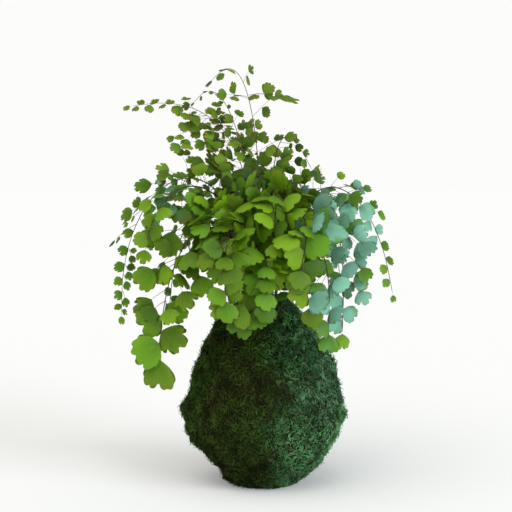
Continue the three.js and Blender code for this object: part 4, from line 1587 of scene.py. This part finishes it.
class LeafletMaker:
    """Turns blades into fan-shaped leaflets with lobes, scalloped rims and short stalks."""

    def __init__(self, rule: Rule, cut: LeafMesh) -> None:
        """Keeps the rule that the blades grew by, and how a leaflet is cut."""
        self.rule, self.cut = rule, cut

    def blocks(self, blades: list[Blade], plan: FrondPlan) -> list[Block]:
        """The leaflets of one frond.

        Args:
            blades: The blades.
            plan: The frond's plan.

        Returns:
            A block of skin and one of stalks.
        """
        rng = np.random.default_rng(plan.seed)
        middles = np.array([blade.middle for blade in blades])
        points = self.in_place(self.shape(blades, middles[:, 2:], plan, rng), blades)
        marks = self.marks(points, middles, plan, rng)
        count, each = points.shape[:2]
        faces, places = self.pattern()
        parts = tuple(copies(part, count, each) for part in faces)
        leaf_map = np.concatenate([np.tile(part, (count, 1)) for part in places])
        return [Block(points.reshape(-1, 3), parts, 0, marks, leaf_map), self.petioles(blades)]

    @staticmethod
    def in_place(local: Array, blades: list[Blade]) -> Array:
        """Returns points that are given in their leaflets' own axes, where the leaflets stand."""
        feet = np.array([blade.foot for blade in blades])[:, None]
        return feet + np.einsum("npi,nij->npj", local, np.array([blade.axes for blade in blades]))

    def shape(self, blades: list[Blade], heights: Array, plan: FrondPlan, rng: np.random.Generator) -> Array:
        """The points of each leaflet in its own axes.

        A leaflet is a thin lens: a foot point, a middle row of points on each face, and a rim both share.
        The rim's distance from the foot is the size, less a share that grows to the sides, less the notches
        between lobes and between the smaller scallops. Notches are 1 - root |sin|. Height is the blade's own
        arch and droop, less a fold at each notch and with a ripple round the rim.

        Args:
            blades: The blades.
            heights: How high they stand, (n, 1).
            plan: The frond's plan.
            rng: The chance.

        Returns:
            The points, (n, points, 3).
        """
        cut, rule, count = self.cut, self.rule, len(blades)

        def some(low: float, high: float) -> Array:
            """Returns one number from chance for each leaflet."""
            return rng.uniform(low, high, (count, 1))

        small, large = smooth_step(heights, *cut.small_from), 1 - smooth_step(heights, *cut.large_from)
        growth = plan.scale * (1 - cut.small_share * small + cut.large_share * large)
        size = np.array([blade.size for blade in blades])[:, None] * growth
        lobes = np.where(size < rule.large, rng.integers(2, 4, (count, 1)), rng.integers(2, 5, (count, 1)))
        scallops = np.where(lobes == 2, 6, 2 * lobes)
        half = np.radians(some(*cut.half_angle))
        phi = np.linspace(-1, 1, cut.spokes * cut.steps + 1)[None]
        which = (phi + 1) / 2 + cut.shift * np.sin(math.pi * (phi + 1) + some(*cut.phase)) * (1 - phi**2)
        notch = some(*cut.lobe_depth) * (1 - np.sqrt(np.abs(np.sin(math.pi * which * lobes))))
        notch = notch + some(*cut.scallop_depth) * (1 - np.sqrt(np.abs(np.sin(math.pi * which * scallops))))
        aside = np.abs(phi)
        side = 1 - (1 - some(*cut.side_share)) * aside**2 - cut.corner[0] * aside ** cut.corner[1]
        reach = size * side * (1 + cut.uneven * np.sin(phi * 2 + some(*cut.phase))) * (1 - notch)
        x, y = reach * np.cos(phi * half), reach * np.sin(phi * half) * plan.broad
        wave = cut.ripple * np.sin(phi * some(*cut.ripples) + some(*cut.phase))
        rim = np.stack([x, y, Blade.height(rule, x, y, size) + size * (wave - cut.fold * notch)], -1)
        x, y, height = np.moveaxis(rim[:, :: cut.steps], -1, 0)
        bent = cut.middle**2 * (height - Blade.height(rule, x, y, size))
        x, y = x * cut.middle, y * cut.middle
        height = Blade.height(rule, x, y, size) + bent
        faces = [np.stack([x, y, height + lift], -1) for lift in (cut.thickness / 2, -cut.thickness / 2)]
        foot = np.tile([rule.neck[0] * cut.foot, 0, 0], (count, 1, 1))
        return np.concatenate([foot, *faces, rim], axis=1)

    def marks(
        self, points: Array, middles: Array, plan: FrondPlan, rng: np.random.Generator
    ) -> dict[str, Array]:
        """What is marked on the leaflets' points.

        Tint goes from yellow-green at 0 to blue at 1, its blue partly painted reflection round the sheen
        spots. Shade is how light a leaflet is: a random tone, less painted shade near the top of the plant
        and inside it near its axis. Age is how dry its rim is.

        Args:
            points: The points, (n, points, 3).
            middles: The leaflets' middles, (n, 3).
            plan: The frond's plan.
            rng: The chance.

        Returns:
            The marks by their names.
        """
        cut = self.cut
        # Painted reflection: a blue-green share of the tint round the sheen spots, broken into patches.
        patches = 1 + cut.sheen_patches * lattice_noise(points, cut.sheen_grain, plan.seed)
        painted_sheen = np.minimum(self.painted_sheen(middles, rng)[:, None] * patches, 1)
        high = smooth_step(middles[:, 2:], *cut.top_from)
        # Painted shade: leaflets inside the plant near its axis, below its top, are darker and bluer.
        inner = 1 - smooth_step(np.hypot(middles[:, 0], middles[:, 1])[:, None], *cut.inner_from)
        inner = inner * (1 - high)
        own, light, old = rng.uniform(0, 1, (3, len(points), 1)) + np.zeros((3, *points.shape[:2]))
        tint = plan.tint + cut.tint_spread * (own - 0.5) - cut.top_olive * high + cut.inner_shade_blue * inner
        (dull, dry), (dull_age, dry_age) = cut.old_from, cut.old_age
        age = np.where(old > dry, dry_age, np.where(old > dull, dull_age, 0))
        marks = {
            "tint": np.clip(tint + cut.sheen_share * painted_sheen, 0, 1),
            "shade": light * (1 - cut.top_painted_shade * high) - cut.inner_painted_shade * inner,
            "age": np.maximum(age, cut.top_age * high),
        }
        return {key: value.ravel() for key, value in marks.items()}

    def painted_sheen(self, middles: Array, rng: np.random.Generator) -> Array:
        """How blue each leaflet is, from 0 to 1, as painted reflection: full inside a sheen spot and falling
        off towards its edge.

        Args:
            middles: The leaflets' middles.
            rng: The chance, which moves each leaflet in or out a little.

        Returns:
            The shares.
        """
        most = np.zeros(len(middles))
        jitter = rng.normal(0, self.cut.sheen_jitter, len(middles))
        for x, z, reach, share in self.cut.sheen_spots:
            distance = np.hypot(middles[:, 0] - x, middles[:, 2] - z) + jitter
            most = np.maximum(most, share * (1 - smooth_step(distance, self.cut.sheen_core * reach, reach)))
        return most

    def pattern(self) -> tuple[list[Array], list[Array]]:
        """The faces of one leaflet: a fan of triangles, then wider faces out to the rim, on front and back.

        Returns:
            The faces, as front and back triangles, front and back outer faces and the two side slits, and the
            leaf map at their corners: across the leaflet from 0 to 1 and out along it from 0 to 1.
        """
        last, steps, middle = self.cut.spokes, self.cut.steps, self.cut.middle
        spoke = np.arange(last)
        front, back, rim = 1, last + 2, 2 * last + 3
        arc = rim + spoke[:, None] * steps + np.arange(steps + 1)
        share, step, inner = spoke / last, 1 / last, np.full(last, middle)
        near, far = np.stack([share, inner], -1)[:, None], np.stack([share + step, inner], -1)[:, None]
        root = np.stack([share + step / 2, 0 * share], -1)[:, None]
        arc_map = np.stack([(arc - rim) / (last * steps), np.ones_like(arc, float)], -1)
        fan_map, outer_map = np.concatenate([root, near, far], 1), np.concatenate([near, arc_map, far], 1)
        fans, outers = [], []
        for start in (front, back):
            fans.append(np.column_stack([0 * spoke, start + spoke, start + spoke + 1]))
            outers.append(np.column_stack([start + spoke, arc, start + spoke + 1]))
        slits = np.array([[front, 0, back, rim], [0, front + last, rim + last * steps, back + last]])
        slit_map = np.array(
            [[[0, middle], [0, 0], [0, middle], [0, 1]], [[1, 0], [1, middle], [1, 1], [1, middle]]]
        )
        faces = [fans[0], fans[1][:, ::-1], outers[0], outers[1][:, ::-1], slits]
        maps = [fan_map, fan_map[:, ::-1], outer_map, outer_map[:, ::-1], slit_map]
        return faces, [part.reshape(-1, 2) for part in maps]

    def petioles(self, blades: list[Blade]) -> Block:
        """The short dark stalks that carry the leaflets and run a little way into them.

        Args:
            blades: The blades.

        Returns:
            Their block.
        """
        cut, rule = self.cut, self.rule
        size = np.array([blade.size for blade in blades])[:, None]
        reach = np.array(cut.petiole_rings)[None] * (rule.neck[0] + cut.petiole_into * size)
        local = np.stack([reach, 0 * reach, Blade.height(rule, reach, 0 * reach, size)], -1)
        radii = np.broadcast_to(cut.petiole_radius * np.array(cut.petiole_taper), (len(blades), 2))
        points, faces = tubes(self.in_place(local, blades), radii, 3)
        return Block(points, (faces,), 1, {"thin": cut.petiole_thin})


@dataclass(frozen=True)
class StemMesh:
    """How one kind of stem is drawn: its radii at its foot and tip, and how finely it is cut."""

    kind: StemKind
    radii: Pair
    steps: int
    sides: int
    thin: float


STEM_MESHES = (
    StemMesh(StemKind.STALK, (0.8, 0.3), 4, 7, 0),
    StemMesh(StemKind.BRANCH, (0.3, 0.17), 3, 5, 0.3),
)


def frond_piece(frond: Frond, maker: LeafletMaker, finishes: list[Material]) -> Piece:
    """One frond as a single piece, in place of its solid.

    Args:
        frond: The frond that has grown.
        maker: The maker of its leaflets.
        finishes: The leaf's and the stem's materials.

    Returns:
        The piece.
    """
    blocks = maker.blocks(frond.blades, frond.plan)
    for cut in STEM_MESHES:
        stems = [stem.path for stem in frond.stems if stem.kind is cut.kind]
        paths = np.array([smooth_path(path.points, len(path.steps) * cut.steps) for path in stems])
        if not len(paths):
            continue
        radii = np.tile(np.linspace(*cut.radii, paths.shape[1] - 2) * frond.plan.wiry, (len(paths), 1))
        points, faces = tubes(paths, radii, cut.sides)
        blocks.append(Block(points, (faces,), 1, {"thin": cut.thin}))
    node = "frond_" + frond.plan.name
    piece = make_piece(node + "_leaves", blocks, finishes, 50)
    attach(piece, "root")
    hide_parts(node)
    log.info("%s: %d leaflets, %d stems", piece.name, len(frond.blades), len(frond.stems))
    return piece


@dataclass(frozen=True)
class Pile:
    """One kind of strand: how many, their sizes in millimetres and how they lie.

    Lean is the angle to the surface in degrees, curl how far a strand turns sideways in radians, feather how
    much its width swells and narrows, and dry the share of straw-coloured ones. Stray is how far a strand's
    heading is from its neighbours', sink how much of its rise it loses, waver how uneven the rise is, and
    taper its width at the tip beside that at its root.
    """

    name: str
    count: int
    rings: int
    length: Pair
    width: Pair
    lean: Pair
    curl: float
    feather: float
    dry: float
    seed: int
    stray: float = 1.6
    sink: float = 0.8
    waver: float = 0.2
    taper: float = 0.55


def grow_strands(
    foot: Array, out: Array, swirl: Array, pile: Pile, rng: np.random.Generator
) -> tuple[Array, Array, Array]:
    """Curved strands that grow out of a surface.

    A strand leaves the surface at its lean, turns sideways by its curl and sinks back as it goes: each step
    is the surface's two flat directions times the cosine and sine of the heading, and the way out times the
    sine of the rise.

    Args:
        foot: Where they grow, (n, 3).
        out: The ways out there.
        swirl: The headings that neighbours share, (n,).
        pile: Their kind.
        rng: The chance.

    Returns:
        Their curves, (n, rings + 2, 3), the radii between the curves' ends, and the share of the way along.
    """
    count, steps = len(foot), pile.rings + 2
    first = square_to(np.cross(out, SLANTED), out)
    second = np.cross(out, first)
    t = np.linspace(0, 1, steps)[None]
    heading = (swirl + rng.uniform(-pile.stray, pile.stray, count))[:, None]
    heading = heading + rng.normal(0, pile.curl, count)[:, None] * t
    rise = np.radians(rng.uniform(*pile.lean, count))[:, None] * (1 - pile.sink * t)
    rise = rise + pile.waver * rng.normal(0, 1, count)[:, None] * t
    flat = first[:, None] * np.cos(heading)[..., None] + second[:, None] * np.sin(heading)[..., None]
    way = flat * np.cos(rise)[..., None] + out[:, None] * np.sin(rise)[..., None]
    stride = rng.uniform(*pile.length, count)[:, None, None] / (steps - 1)
    walk = np.concatenate([np.zeros((count, 1, 3)), np.cumsum(way[:, :-1] * stride, axis=1)], axis=1)
    swell = 1 + pile.feather * np.cos(np.arange(pile.rings) * math.pi)
    taper = np.linspace(1, pile.taper, pile.rings) * swell
    return foot[:, None] + walk, rng.uniform(*pile.width, count)[:, None] / 2 * taper[None], t


@dataclass
class MossBall:
    """The moss wrap: a lumpy sheet, and the nap, shoots and tangled fibres that grow out of it."""

    shape: MossShape
    rows: int = 120
    around: int = 180
    outline_steps: int = 400
    sheet_sink: float = 1.4
    rough_above: float = 10
    slope_steps: Pair = (0.012, 0.7)
    swirl_grain: float = 16
    # Noise layers for painted shade, darker where they stand low as if in hollows.
    hollow_shade_noise: tuple[Pair, ...] = ((11, 0.3), (5.5, 0.5))
    root_light: Pair = (0.15, 0.85)
    hollow_light: Pair = (0.35, 0.65)
    sheet_marks: Pair = (0.12, 0.3)
    root_sink: float = 0.3
    floor_clearance: float = 0.5
    thickness: float = 9
    soil_top: float = 139
    soil_bands: int = 5
    lumps: tuple[Pair, ...] = ((26, 1.2), (12, 2.0), (5.5, 1.5), (2.6, 0.7))
    tufts: tuple[Bump, ...] = (
        Bump(0, 55, 5, 0.12, 4),
        Bump(math.pi, 61, 2.8, 0.2, 6),
        Bump(math.pi + 0.1, 36, 1.5, 0.3, 6),
    )
    piles: tuple[Pile, ...] = (
        Pile("moss_nap", 15800, 2, (2.0, 4.0), (0.6, 1.1), (25, 75), 0.8, 0.0, 0.05, 21),
        Pile("moss_shoots", 6300, 5, (3.0, 5.5), (0.7, 1.2), (10, 55), 1.6, 0.4, 0.15, 22),
        Pile("moss_fibres_low", 7800, 4, (4.0, 8.0), (0.4, 0.7), (5, 40), 2.6, 0.0, 0.35, 23),
        Pile("moss_fibres_high", 7800, 4, (4.0, 8.0), (0.3, 0.6), (10, 42), 3.8, 0.0, 0.65, 24),
    )
    seed: int = 5

    def outline(self) -> tuple[Array, Array]:
        """Returns the outline from the flat spot over the lip to the neck, and each point's way along it."""
        line = np.vstack([self.shape.curve(self.outline_steps), self.shape.lip, self.shape.neck])
        return line, np.concatenate([[0], np.cumsum(np.hypot(*np.diff(line, axis=0).T))])

    def at(self, turn: Array, along: Array) -> Array:
        """Points on the moss sheet.

        The outline is turned about Z and pushed out by the ball's own lumps, by its tufts, which are Gaussian
        bumps, and by noise of several grains. The noise fades out at the flat spot.

        Args:
            turn: The turn about Z, in radians.
            along: The distance along the outline.

        Returns:
            The points.
        """
        line, distance = self.outline()
        radius, height = np.interp(along, distance, line[:, 0]), np.interp(along, distance, line[:, 1])
        plain = np.stack([radius * np.cos(turn), radius * np.sin(turn), height], -1)
        rough = layered_noise(plain, self.lumps, self.seed)
        fade = smooth_step(height, 0, self.rough_above)
        out = self.shape.relief(turn, height) + fade * (rough - self.sheet_sink)
        for tuft in self.tufts:
            out = out + tuft.at(turn, height)
        return np.stack([(radius + out) * np.cos(turn), (radius + out) * np.sin(turn), height], -1)

    def outward(self, turn: Array, along: Array) -> Array:
        """The unit ways out of the sheet: the cross product of its slopes round and up.

        Args:
            turn: The turn about Z, in radians.
            along: The distance along the outline.

        Returns:
            The ways.
        """
        line_end = self.outline()[1][-1]
        aside, up = self.slope_steps
        low, high = np.clip(along - up, 0, line_end), np.clip(along + up, 0, line_end)
        round_slope = self.at(turn + aside, along) - self.at(turn - aside, along)
        return unit(np.cross(round_slope, self.at(turn, high) - self.at(turn, low)))

    def sheet(self, finish: Material) -> Piece:
        """The sheet itself, closed: its lumpy outside, its lip, and a plain inside that the soil fills.

        Args:
            finish: The moss's material.

        Returns:
            The piece.
        """
        angle = np.arange(self.around) / self.around * 2 * math.pi
        outside = self.at(*np.meshgrid(angle, np.linspace(0, self.outline()[1][-1], self.rows)))
        rings = []
        for band in range(self.soil_bands, -1, -1):
            height = self.thickness + (self.soil_top - self.thickness) * band / self.soil_bands
            radius = max(float(self.shape.radius(np.array(height))) - self.thickness, self.shape.neck[0])
            rings.append((radius, radius, height))
        around = np.stack([np.cos(angle), np.sin(angle), np.ones_like(angle)], -1)
        grid = np.concatenate([outside, np.array(rings)[:, None] * around])
        rows, columns = grid.shape[:2]
        points = np.concatenate([grid.reshape(-1, 3), [[0, 0, 0], [0, 0, self.thickness]]])
        marks = dict(zip(("tipward", "shade"), self.sheet_marks))
        block = Block(points, closed_faces(rows, columns), 0, marks)
        piece = make_piece("moss_sheet", [block], [finish], 80)
        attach(piece, "root")
        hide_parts("moss_wrap")
        log.info("%s: %d points", piece.name, len(points))
        return piece

    def grow(self, pile: Pile, finish: Material) -> Piece:
        """One kind of growth, spread evenly over the sheet, with painted shade where a noise stands for
        hollows.

        Args:
            pile: The kind of growth.
            finish: The moss's material.

        Returns:
            The piece.
        """
        rng = np.random.default_rng(pile.seed)
        line, distance = self.outline()
        weight = np.concatenate([[0], np.cumsum(np.diff(distance) * (line[1:, 0] + line[:-1, 0]) / 2)])
        along = np.interp(rng.uniform(0, weight[-1], pile.count), weight, distance)
        turn = rng.uniform(0, 2 * math.pi, pile.count)
        foot, out = self.at(turn, along), self.outward(turn, along)
        swirl = lattice_noise(foot, self.swirl_grain, self.seed) * math.pi * 2
        paths, radii, t = grow_strands(foot - out * self.root_sink, out, swirl, pile, rng)
        paths[..., 2] = np.maximum(paths[..., 2], self.floor_clearance)
        points, faces = tubes(paths, radii, 3)
        points[:, 2] = np.maximum(points[:, 2], self.floor_clearance / 5)
        shape = (pile.count, pile.rings * 3 + 2)
        tipward = np.concatenate([np.repeat(t[:, 1:-1], 3, axis=1), [[0, 1]]], axis=1)
        # Painted shade: strands are darker where this noise is low, as if in hollows.
        high = np.clip(0.5 + layered_noise(foot, self.hollow_shade_noise, self.seed + 1), 0, 1)[:, None]
        # A random level per strand sets how much painted sheen it takes and how strongly a dry strand is
        # straw.
        light, dried, fresh = rng.uniform(0, 1, (3, pile.count, 1))
        (root, tip), (low, lit), sheen_and_dry_weight = self.root_light, self.hollow_light, 0.4 + 0.6 * fresh
        marks = {
            "tipward": (root + tip * tipward) * (low + lit * high),
            "shade": 0.5 * light + 0.5 * high,
            "dry": np.where(dried < pile.dry, sheen_and_dry_weight, 0.1 * fresh),
            "fresh": sheen_and_dry_weight,
        }
        marks = {key: np.broadcast_to(value, shape).ravel() for key, value in marks.items()}
        block = Block(points, (faces,), 0, marks)
        piece = make_piece(pile.name, [block], [finish], 180)
        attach(piece, "root")
        log.info("%s: %d strands, %d triangles", pile.name, pile.count, len(faces))
        return piece

    def build(self, finish: Material) -> None:
        """Makes the sheet and everything that grows on it.

        Args:
            finish: The moss's material.
        """
        self.sheet(finish)
        for pile in self.piles:
            self.grow(pile, finish)


@dataclass
class FernCrown:
    """The rhizome: a low rough mound with narrow chaffy scales, and crumbs of soil round it in the neck."""

    centre: float = 140
    radius: float = 14
    half_height: float = 11
    lumps: int = 4
    lump_depth: float = 0.07
    rows: int = 36
    around: int = 72
    roughness: tuple[Pair, ...] = ((4, 0.5), (1.6, 0.3))
    scales: Pile = Pile("crown_scales", 1500, 2, (1.8, 4.0), (0.5, 0.9), (20, 60), 0.5, 0.0, 0.3, 63)
    scales_above: float = -0.1
    root_sink: float = 0.3
    crumbs: int = 520
    crumb_size: Pair = (0.35, 1.2)
    crumb_ring: Pair = (9.5, 15.6)
    crumb_spread: Pair = (0.7, 1.3)
    crumb_rise: float = 0.3
    soil_top: float = 139
    seed: int = 61

    def at(self, turn: Array, lift: Array) -> tuple[Array, Array]:
        """Points on the mound and the ways out there.

        A flattened ball, radius x (1 + lump depth x sin(lumps x turn) x cosine squared of the lift), pushed
        out by noise of two grains.

        Args:
            turn: The turn about Z, in radians.
            lift: The angle above the middle, in radians.

        Returns:
            The points and the unit ways out, those of the plain flattened ball.
        """
        radius = self.radius * (1 + self.lump_depth * np.sin(self.lumps * turn) * np.cos(lift) ** 2)
        ball = np.stack([np.cos(lift) * np.cos(turn), np.cos(lift) * np.sin(turn), np.sin(lift)], -1)
        out = unit(ball / np.array([self.radius, self.radius, self.half_height]))
        points = ball * np.stack([radius, radius, 0 * radius + self.half_height], -1) + UP * self.centre
        rough = layered_noise(points, self.roughness, self.seed)
        return points + out * rough[..., None], out

    def build(self, bark: Material, soil: Material) -> None:
        """Makes the mound with its scales, and the crumbs.

        Args:
            bark: The rhizome's material.
            soil: The soil's material.
        """
        turn, lift = np.meshgrid(
            np.arange(self.around) / self.around * 2 * math.pi,
            np.linspace(-math.pi / 2, math.pi / 2, self.rows + 2)[1:-1],
        )
        mound, _ = self.at(turn, lift)
        ends, _ = self.at(np.zeros(2), np.array([-math.pi / 2, math.pi / 2]))
        points = np.concatenate([mound.reshape(-1, 3), ends])
        blocks = [Block(points, closed_faces(self.rows, self.around))]
        rng = np.random.default_rng(self.seed)
        count = self.scales.count
        turn, lift = rng.uniform(0, 2 * math.pi, count), np.arcsin(rng.uniform(self.scales_above, 1, count))
        root, out = self.at(turn, lift)
        paths, radii, _ = grow_strands(root - out * self.root_sink, out, turn, self.scales, rng)
        scales, faces = tubes(paths, radii, 3)
        blocks.append(Block(scales, (faces,)))
        piece = make_piece("fern_rhizome", blocks, [bark], 60)
        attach(piece, "root")
        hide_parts("fern_crown")
        log.info("%s: %d scales", piece.name, count)
        self.strew(soil, rng)

    def strew(self, soil: Material, rng: np.random.Generator) -> None:
        """Strews crumbs in the neck: uneven eight-sided grains, each turned its own way.

        Args:
            soil: The soil's material.
            rng: The chance.
        """
        count = self.crumbs
        turn, reach = rng.uniform(0, 2 * math.pi, count), rng.uniform(*self.crumb_ring, count)
        size = rng.uniform(*self.crumb_size, (count, 1, 1))
        height = self.soil_top + self.crumb_rise * size[:, 0, 0]
        centre = np.stack([reach * np.cos(turn), reach * np.sin(turn), height], -1)
        first = unit(rng.normal(0, 1, (count, 3)))
        second = square_to(rng.normal(0, 1, (count, 3)), first)
        axes = np.stack([first, second, np.cross(first, second)], 1)
        uneven = rng.uniform(*self.crumb_spread, (count, 6, 1))
        corners = np.concatenate([axes, -axes], axis=1) * size * uneven
        points = (centre[:, None] + corners).reshape(-1, 3)
        sides = np.array(
            [(0, 1, 2), (1, 3, 2), (3, 4, 2), (4, 0, 2), (1, 0, 5), (3, 1, 5), (4, 3, 5), (0, 4, 5)]
        )
        piece = make_piece("soil_crumbs", [Block(points, (copies(sides, count, 6),))], [soil], 30)
        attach(piece, "root")
        log.info("%s: %d crumbs", piece.name, count)


@dataclass(frozen=True)
class Studio:
    """A pale floor, soft lights and the camera where the photograph's was."""

    distance: float = 1100
    view_width: float = 406
    elevation: float = 6
    target: Triple = (-6.3, 0, 182)
    sensor: float = 36
    floor_reach: float = 4000
    floor_gap: float = 0.05
    floor_grey: Colour = (0.86, 0.86, 0.86, 1)
    floor_glow: float = 0.15
    all_round: float = 0.4
    backdrop: Colour = (0.974, 0.982, 0.966, 1)

    def camera(self) -> None:
        """Stands the camera at its distance from its target, looking along +Y and a little down."""
        tilt = math.radians(self.elevation)
        target = Vector(self.target) * MM
        data = bpy.data.cameras.new("camera")
        data.sensor_width = self.sensor
        data.lens = self.sensor * self.distance / self.view_width
        camera = bpy.data.objects.new("camera", data)
        camera.location = target + Vector((0, -math.cos(tilt), math.sin(tilt))) * self.distance * MM
        camera.rotation_euler = (math.pi / 2 - tilt, 0, 0)
        bpy.context.scene.collection.objects.link(camera)
        bpy.context.scene.camera = camera

    def floor(self) -> None:
        """Lays the pale floor, a wide plane just under the ball."""
        corners = np.array([(-1, -1, 0), (1, -1, 0), (1, 1, 0), (-1, 1, 0)])
        points = corners * self.floor_reach - UP * self.floor_gap
        material = bpy.data.materials.new("pale_floor")
        material.use_nodes = True
        looks = {"Base Color": self.floor_grey, "Roughness": 1, "Specular IOR Level": 0,
                 "Emission Color": (1, 1, 1, 1), "Emission Strength": self.floor_glow}
        for key, value in looks.items():
            material.node_tree.nodes["Principled BSDF"].inputs[key].default_value = value
        make_piece("floor", [Block(points, (np.array([[0, 1, 2, 3]]),))], [material], 30)

    def sun(self, name: str, place: Triple, spread: float, strength: float, colour: Triple) -> None:
        """Adds an even light from one side, soft because it comes from a wide patch of sky.

        Args:
            name: Its name.
            place: A point that it shines from, towards the origin.
            spread: How wide the patch is, in degrees.
            strength: Its strength.
            colour: Its colour.
        """
        data = bpy.data.lights.new(name, "SUN")
        data.angle, data.energy, data.color = math.radians(spread), strength, colour
        lamp = bpy.data.objects.new(name, data)
        lamp.rotation_euler = Vector(place).to_track_quat("Z", "Y").to_euler()
        bpy.context.scene.collection.objects.link(lamp)

    def world(self) -> None:
        """Lights the scene evenly from all round, dimly, against a white backdrop."""
        world = bpy.data.worlds.new("studio")
        bpy.context.scene.world = world
        world.use_nodes = True
        nodes = Nodes(world.node_tree)
        soft = world.node_tree.nodes["Background"]
        soft.inputs["Color"].default_value = (1, 1, 1, 1)
        soft.inputs["Strength"].default_value = self.all_round
        white = nodes.add("Background", {"Color": self.backdrop, "Strength": 1})
        seen = nodes.add("LightPath").outputs["Is Camera Ray"]
        mixed = nodes.add("MixShader", {0: seen, 1: soft.outputs[0], 2: white.outputs[0]})
        nodes.set(world.node_tree.nodes["World Output"].inputs["Surface"], mixed.outputs[0])

    def build(self) -> None:
        """Sets everything up."""
        self.camera()
        self.floor()
        self.world()
        self.sun("window", (1.0, -0.8, 0.45), 40, 2.0, (0.84, 0.95, 1.0))
        self.sun("top", (-0.3, -0.5, 1.0), 60, 1.4, (1.0, 0.97, 0.88))
        bpy.context.scene.view_settings.view_transform = "Standard"


def main() -> None:
    """Builds the dressed part in order."""
    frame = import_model()
    Studio().build()
    mottle = mottle_group()
    leaf, stem, moss = (kind().build(mottle) for kind in (LeafFinish, StemFinish, MossFinish))
    soil = EarthFinish("soil", (0.008, 0.005, 0.003, 1), (0.045, 0.028, 0.015, 1)).build(mottle)
    bark = EarthFinish("rhizome", (0.02, 0.01, 0.005, 1), (0.12, 0.06, 0.025, 1)).build(mottle)
    frame["nodes"]["soil_ball"].material_slots[0].material = soil

    shape = MossShape()
    fern = Fern(shape, Rule(), Fill())
    maker = LeafletMaker(fern.rule, LeafMesh())
    for frond in fern.fronds:
        frond_piece(frond, maker, [leaf, stem])
    log.info("leaflets in all: %d", fern.standing.blades)
    FernCrown().build(bark, soil)
    MossBall(shape).build(moss)

    meshes = [piece.data for piece in bpy.data.objects if piece.type == "MESH" and not piece.hide_render]
    corners = [np.zeros(len(mesh.polygons), int) for mesh in meshes]
    for mesh, count in zip(meshes, corners):
        mesh.polygons.foreach_get("loop_total", count)
    log.info("triangles in all: %d", sum(int(count.sum()) - 2 * len(count) for count in corners))
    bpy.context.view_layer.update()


if __name__ == "__main__":
    main()
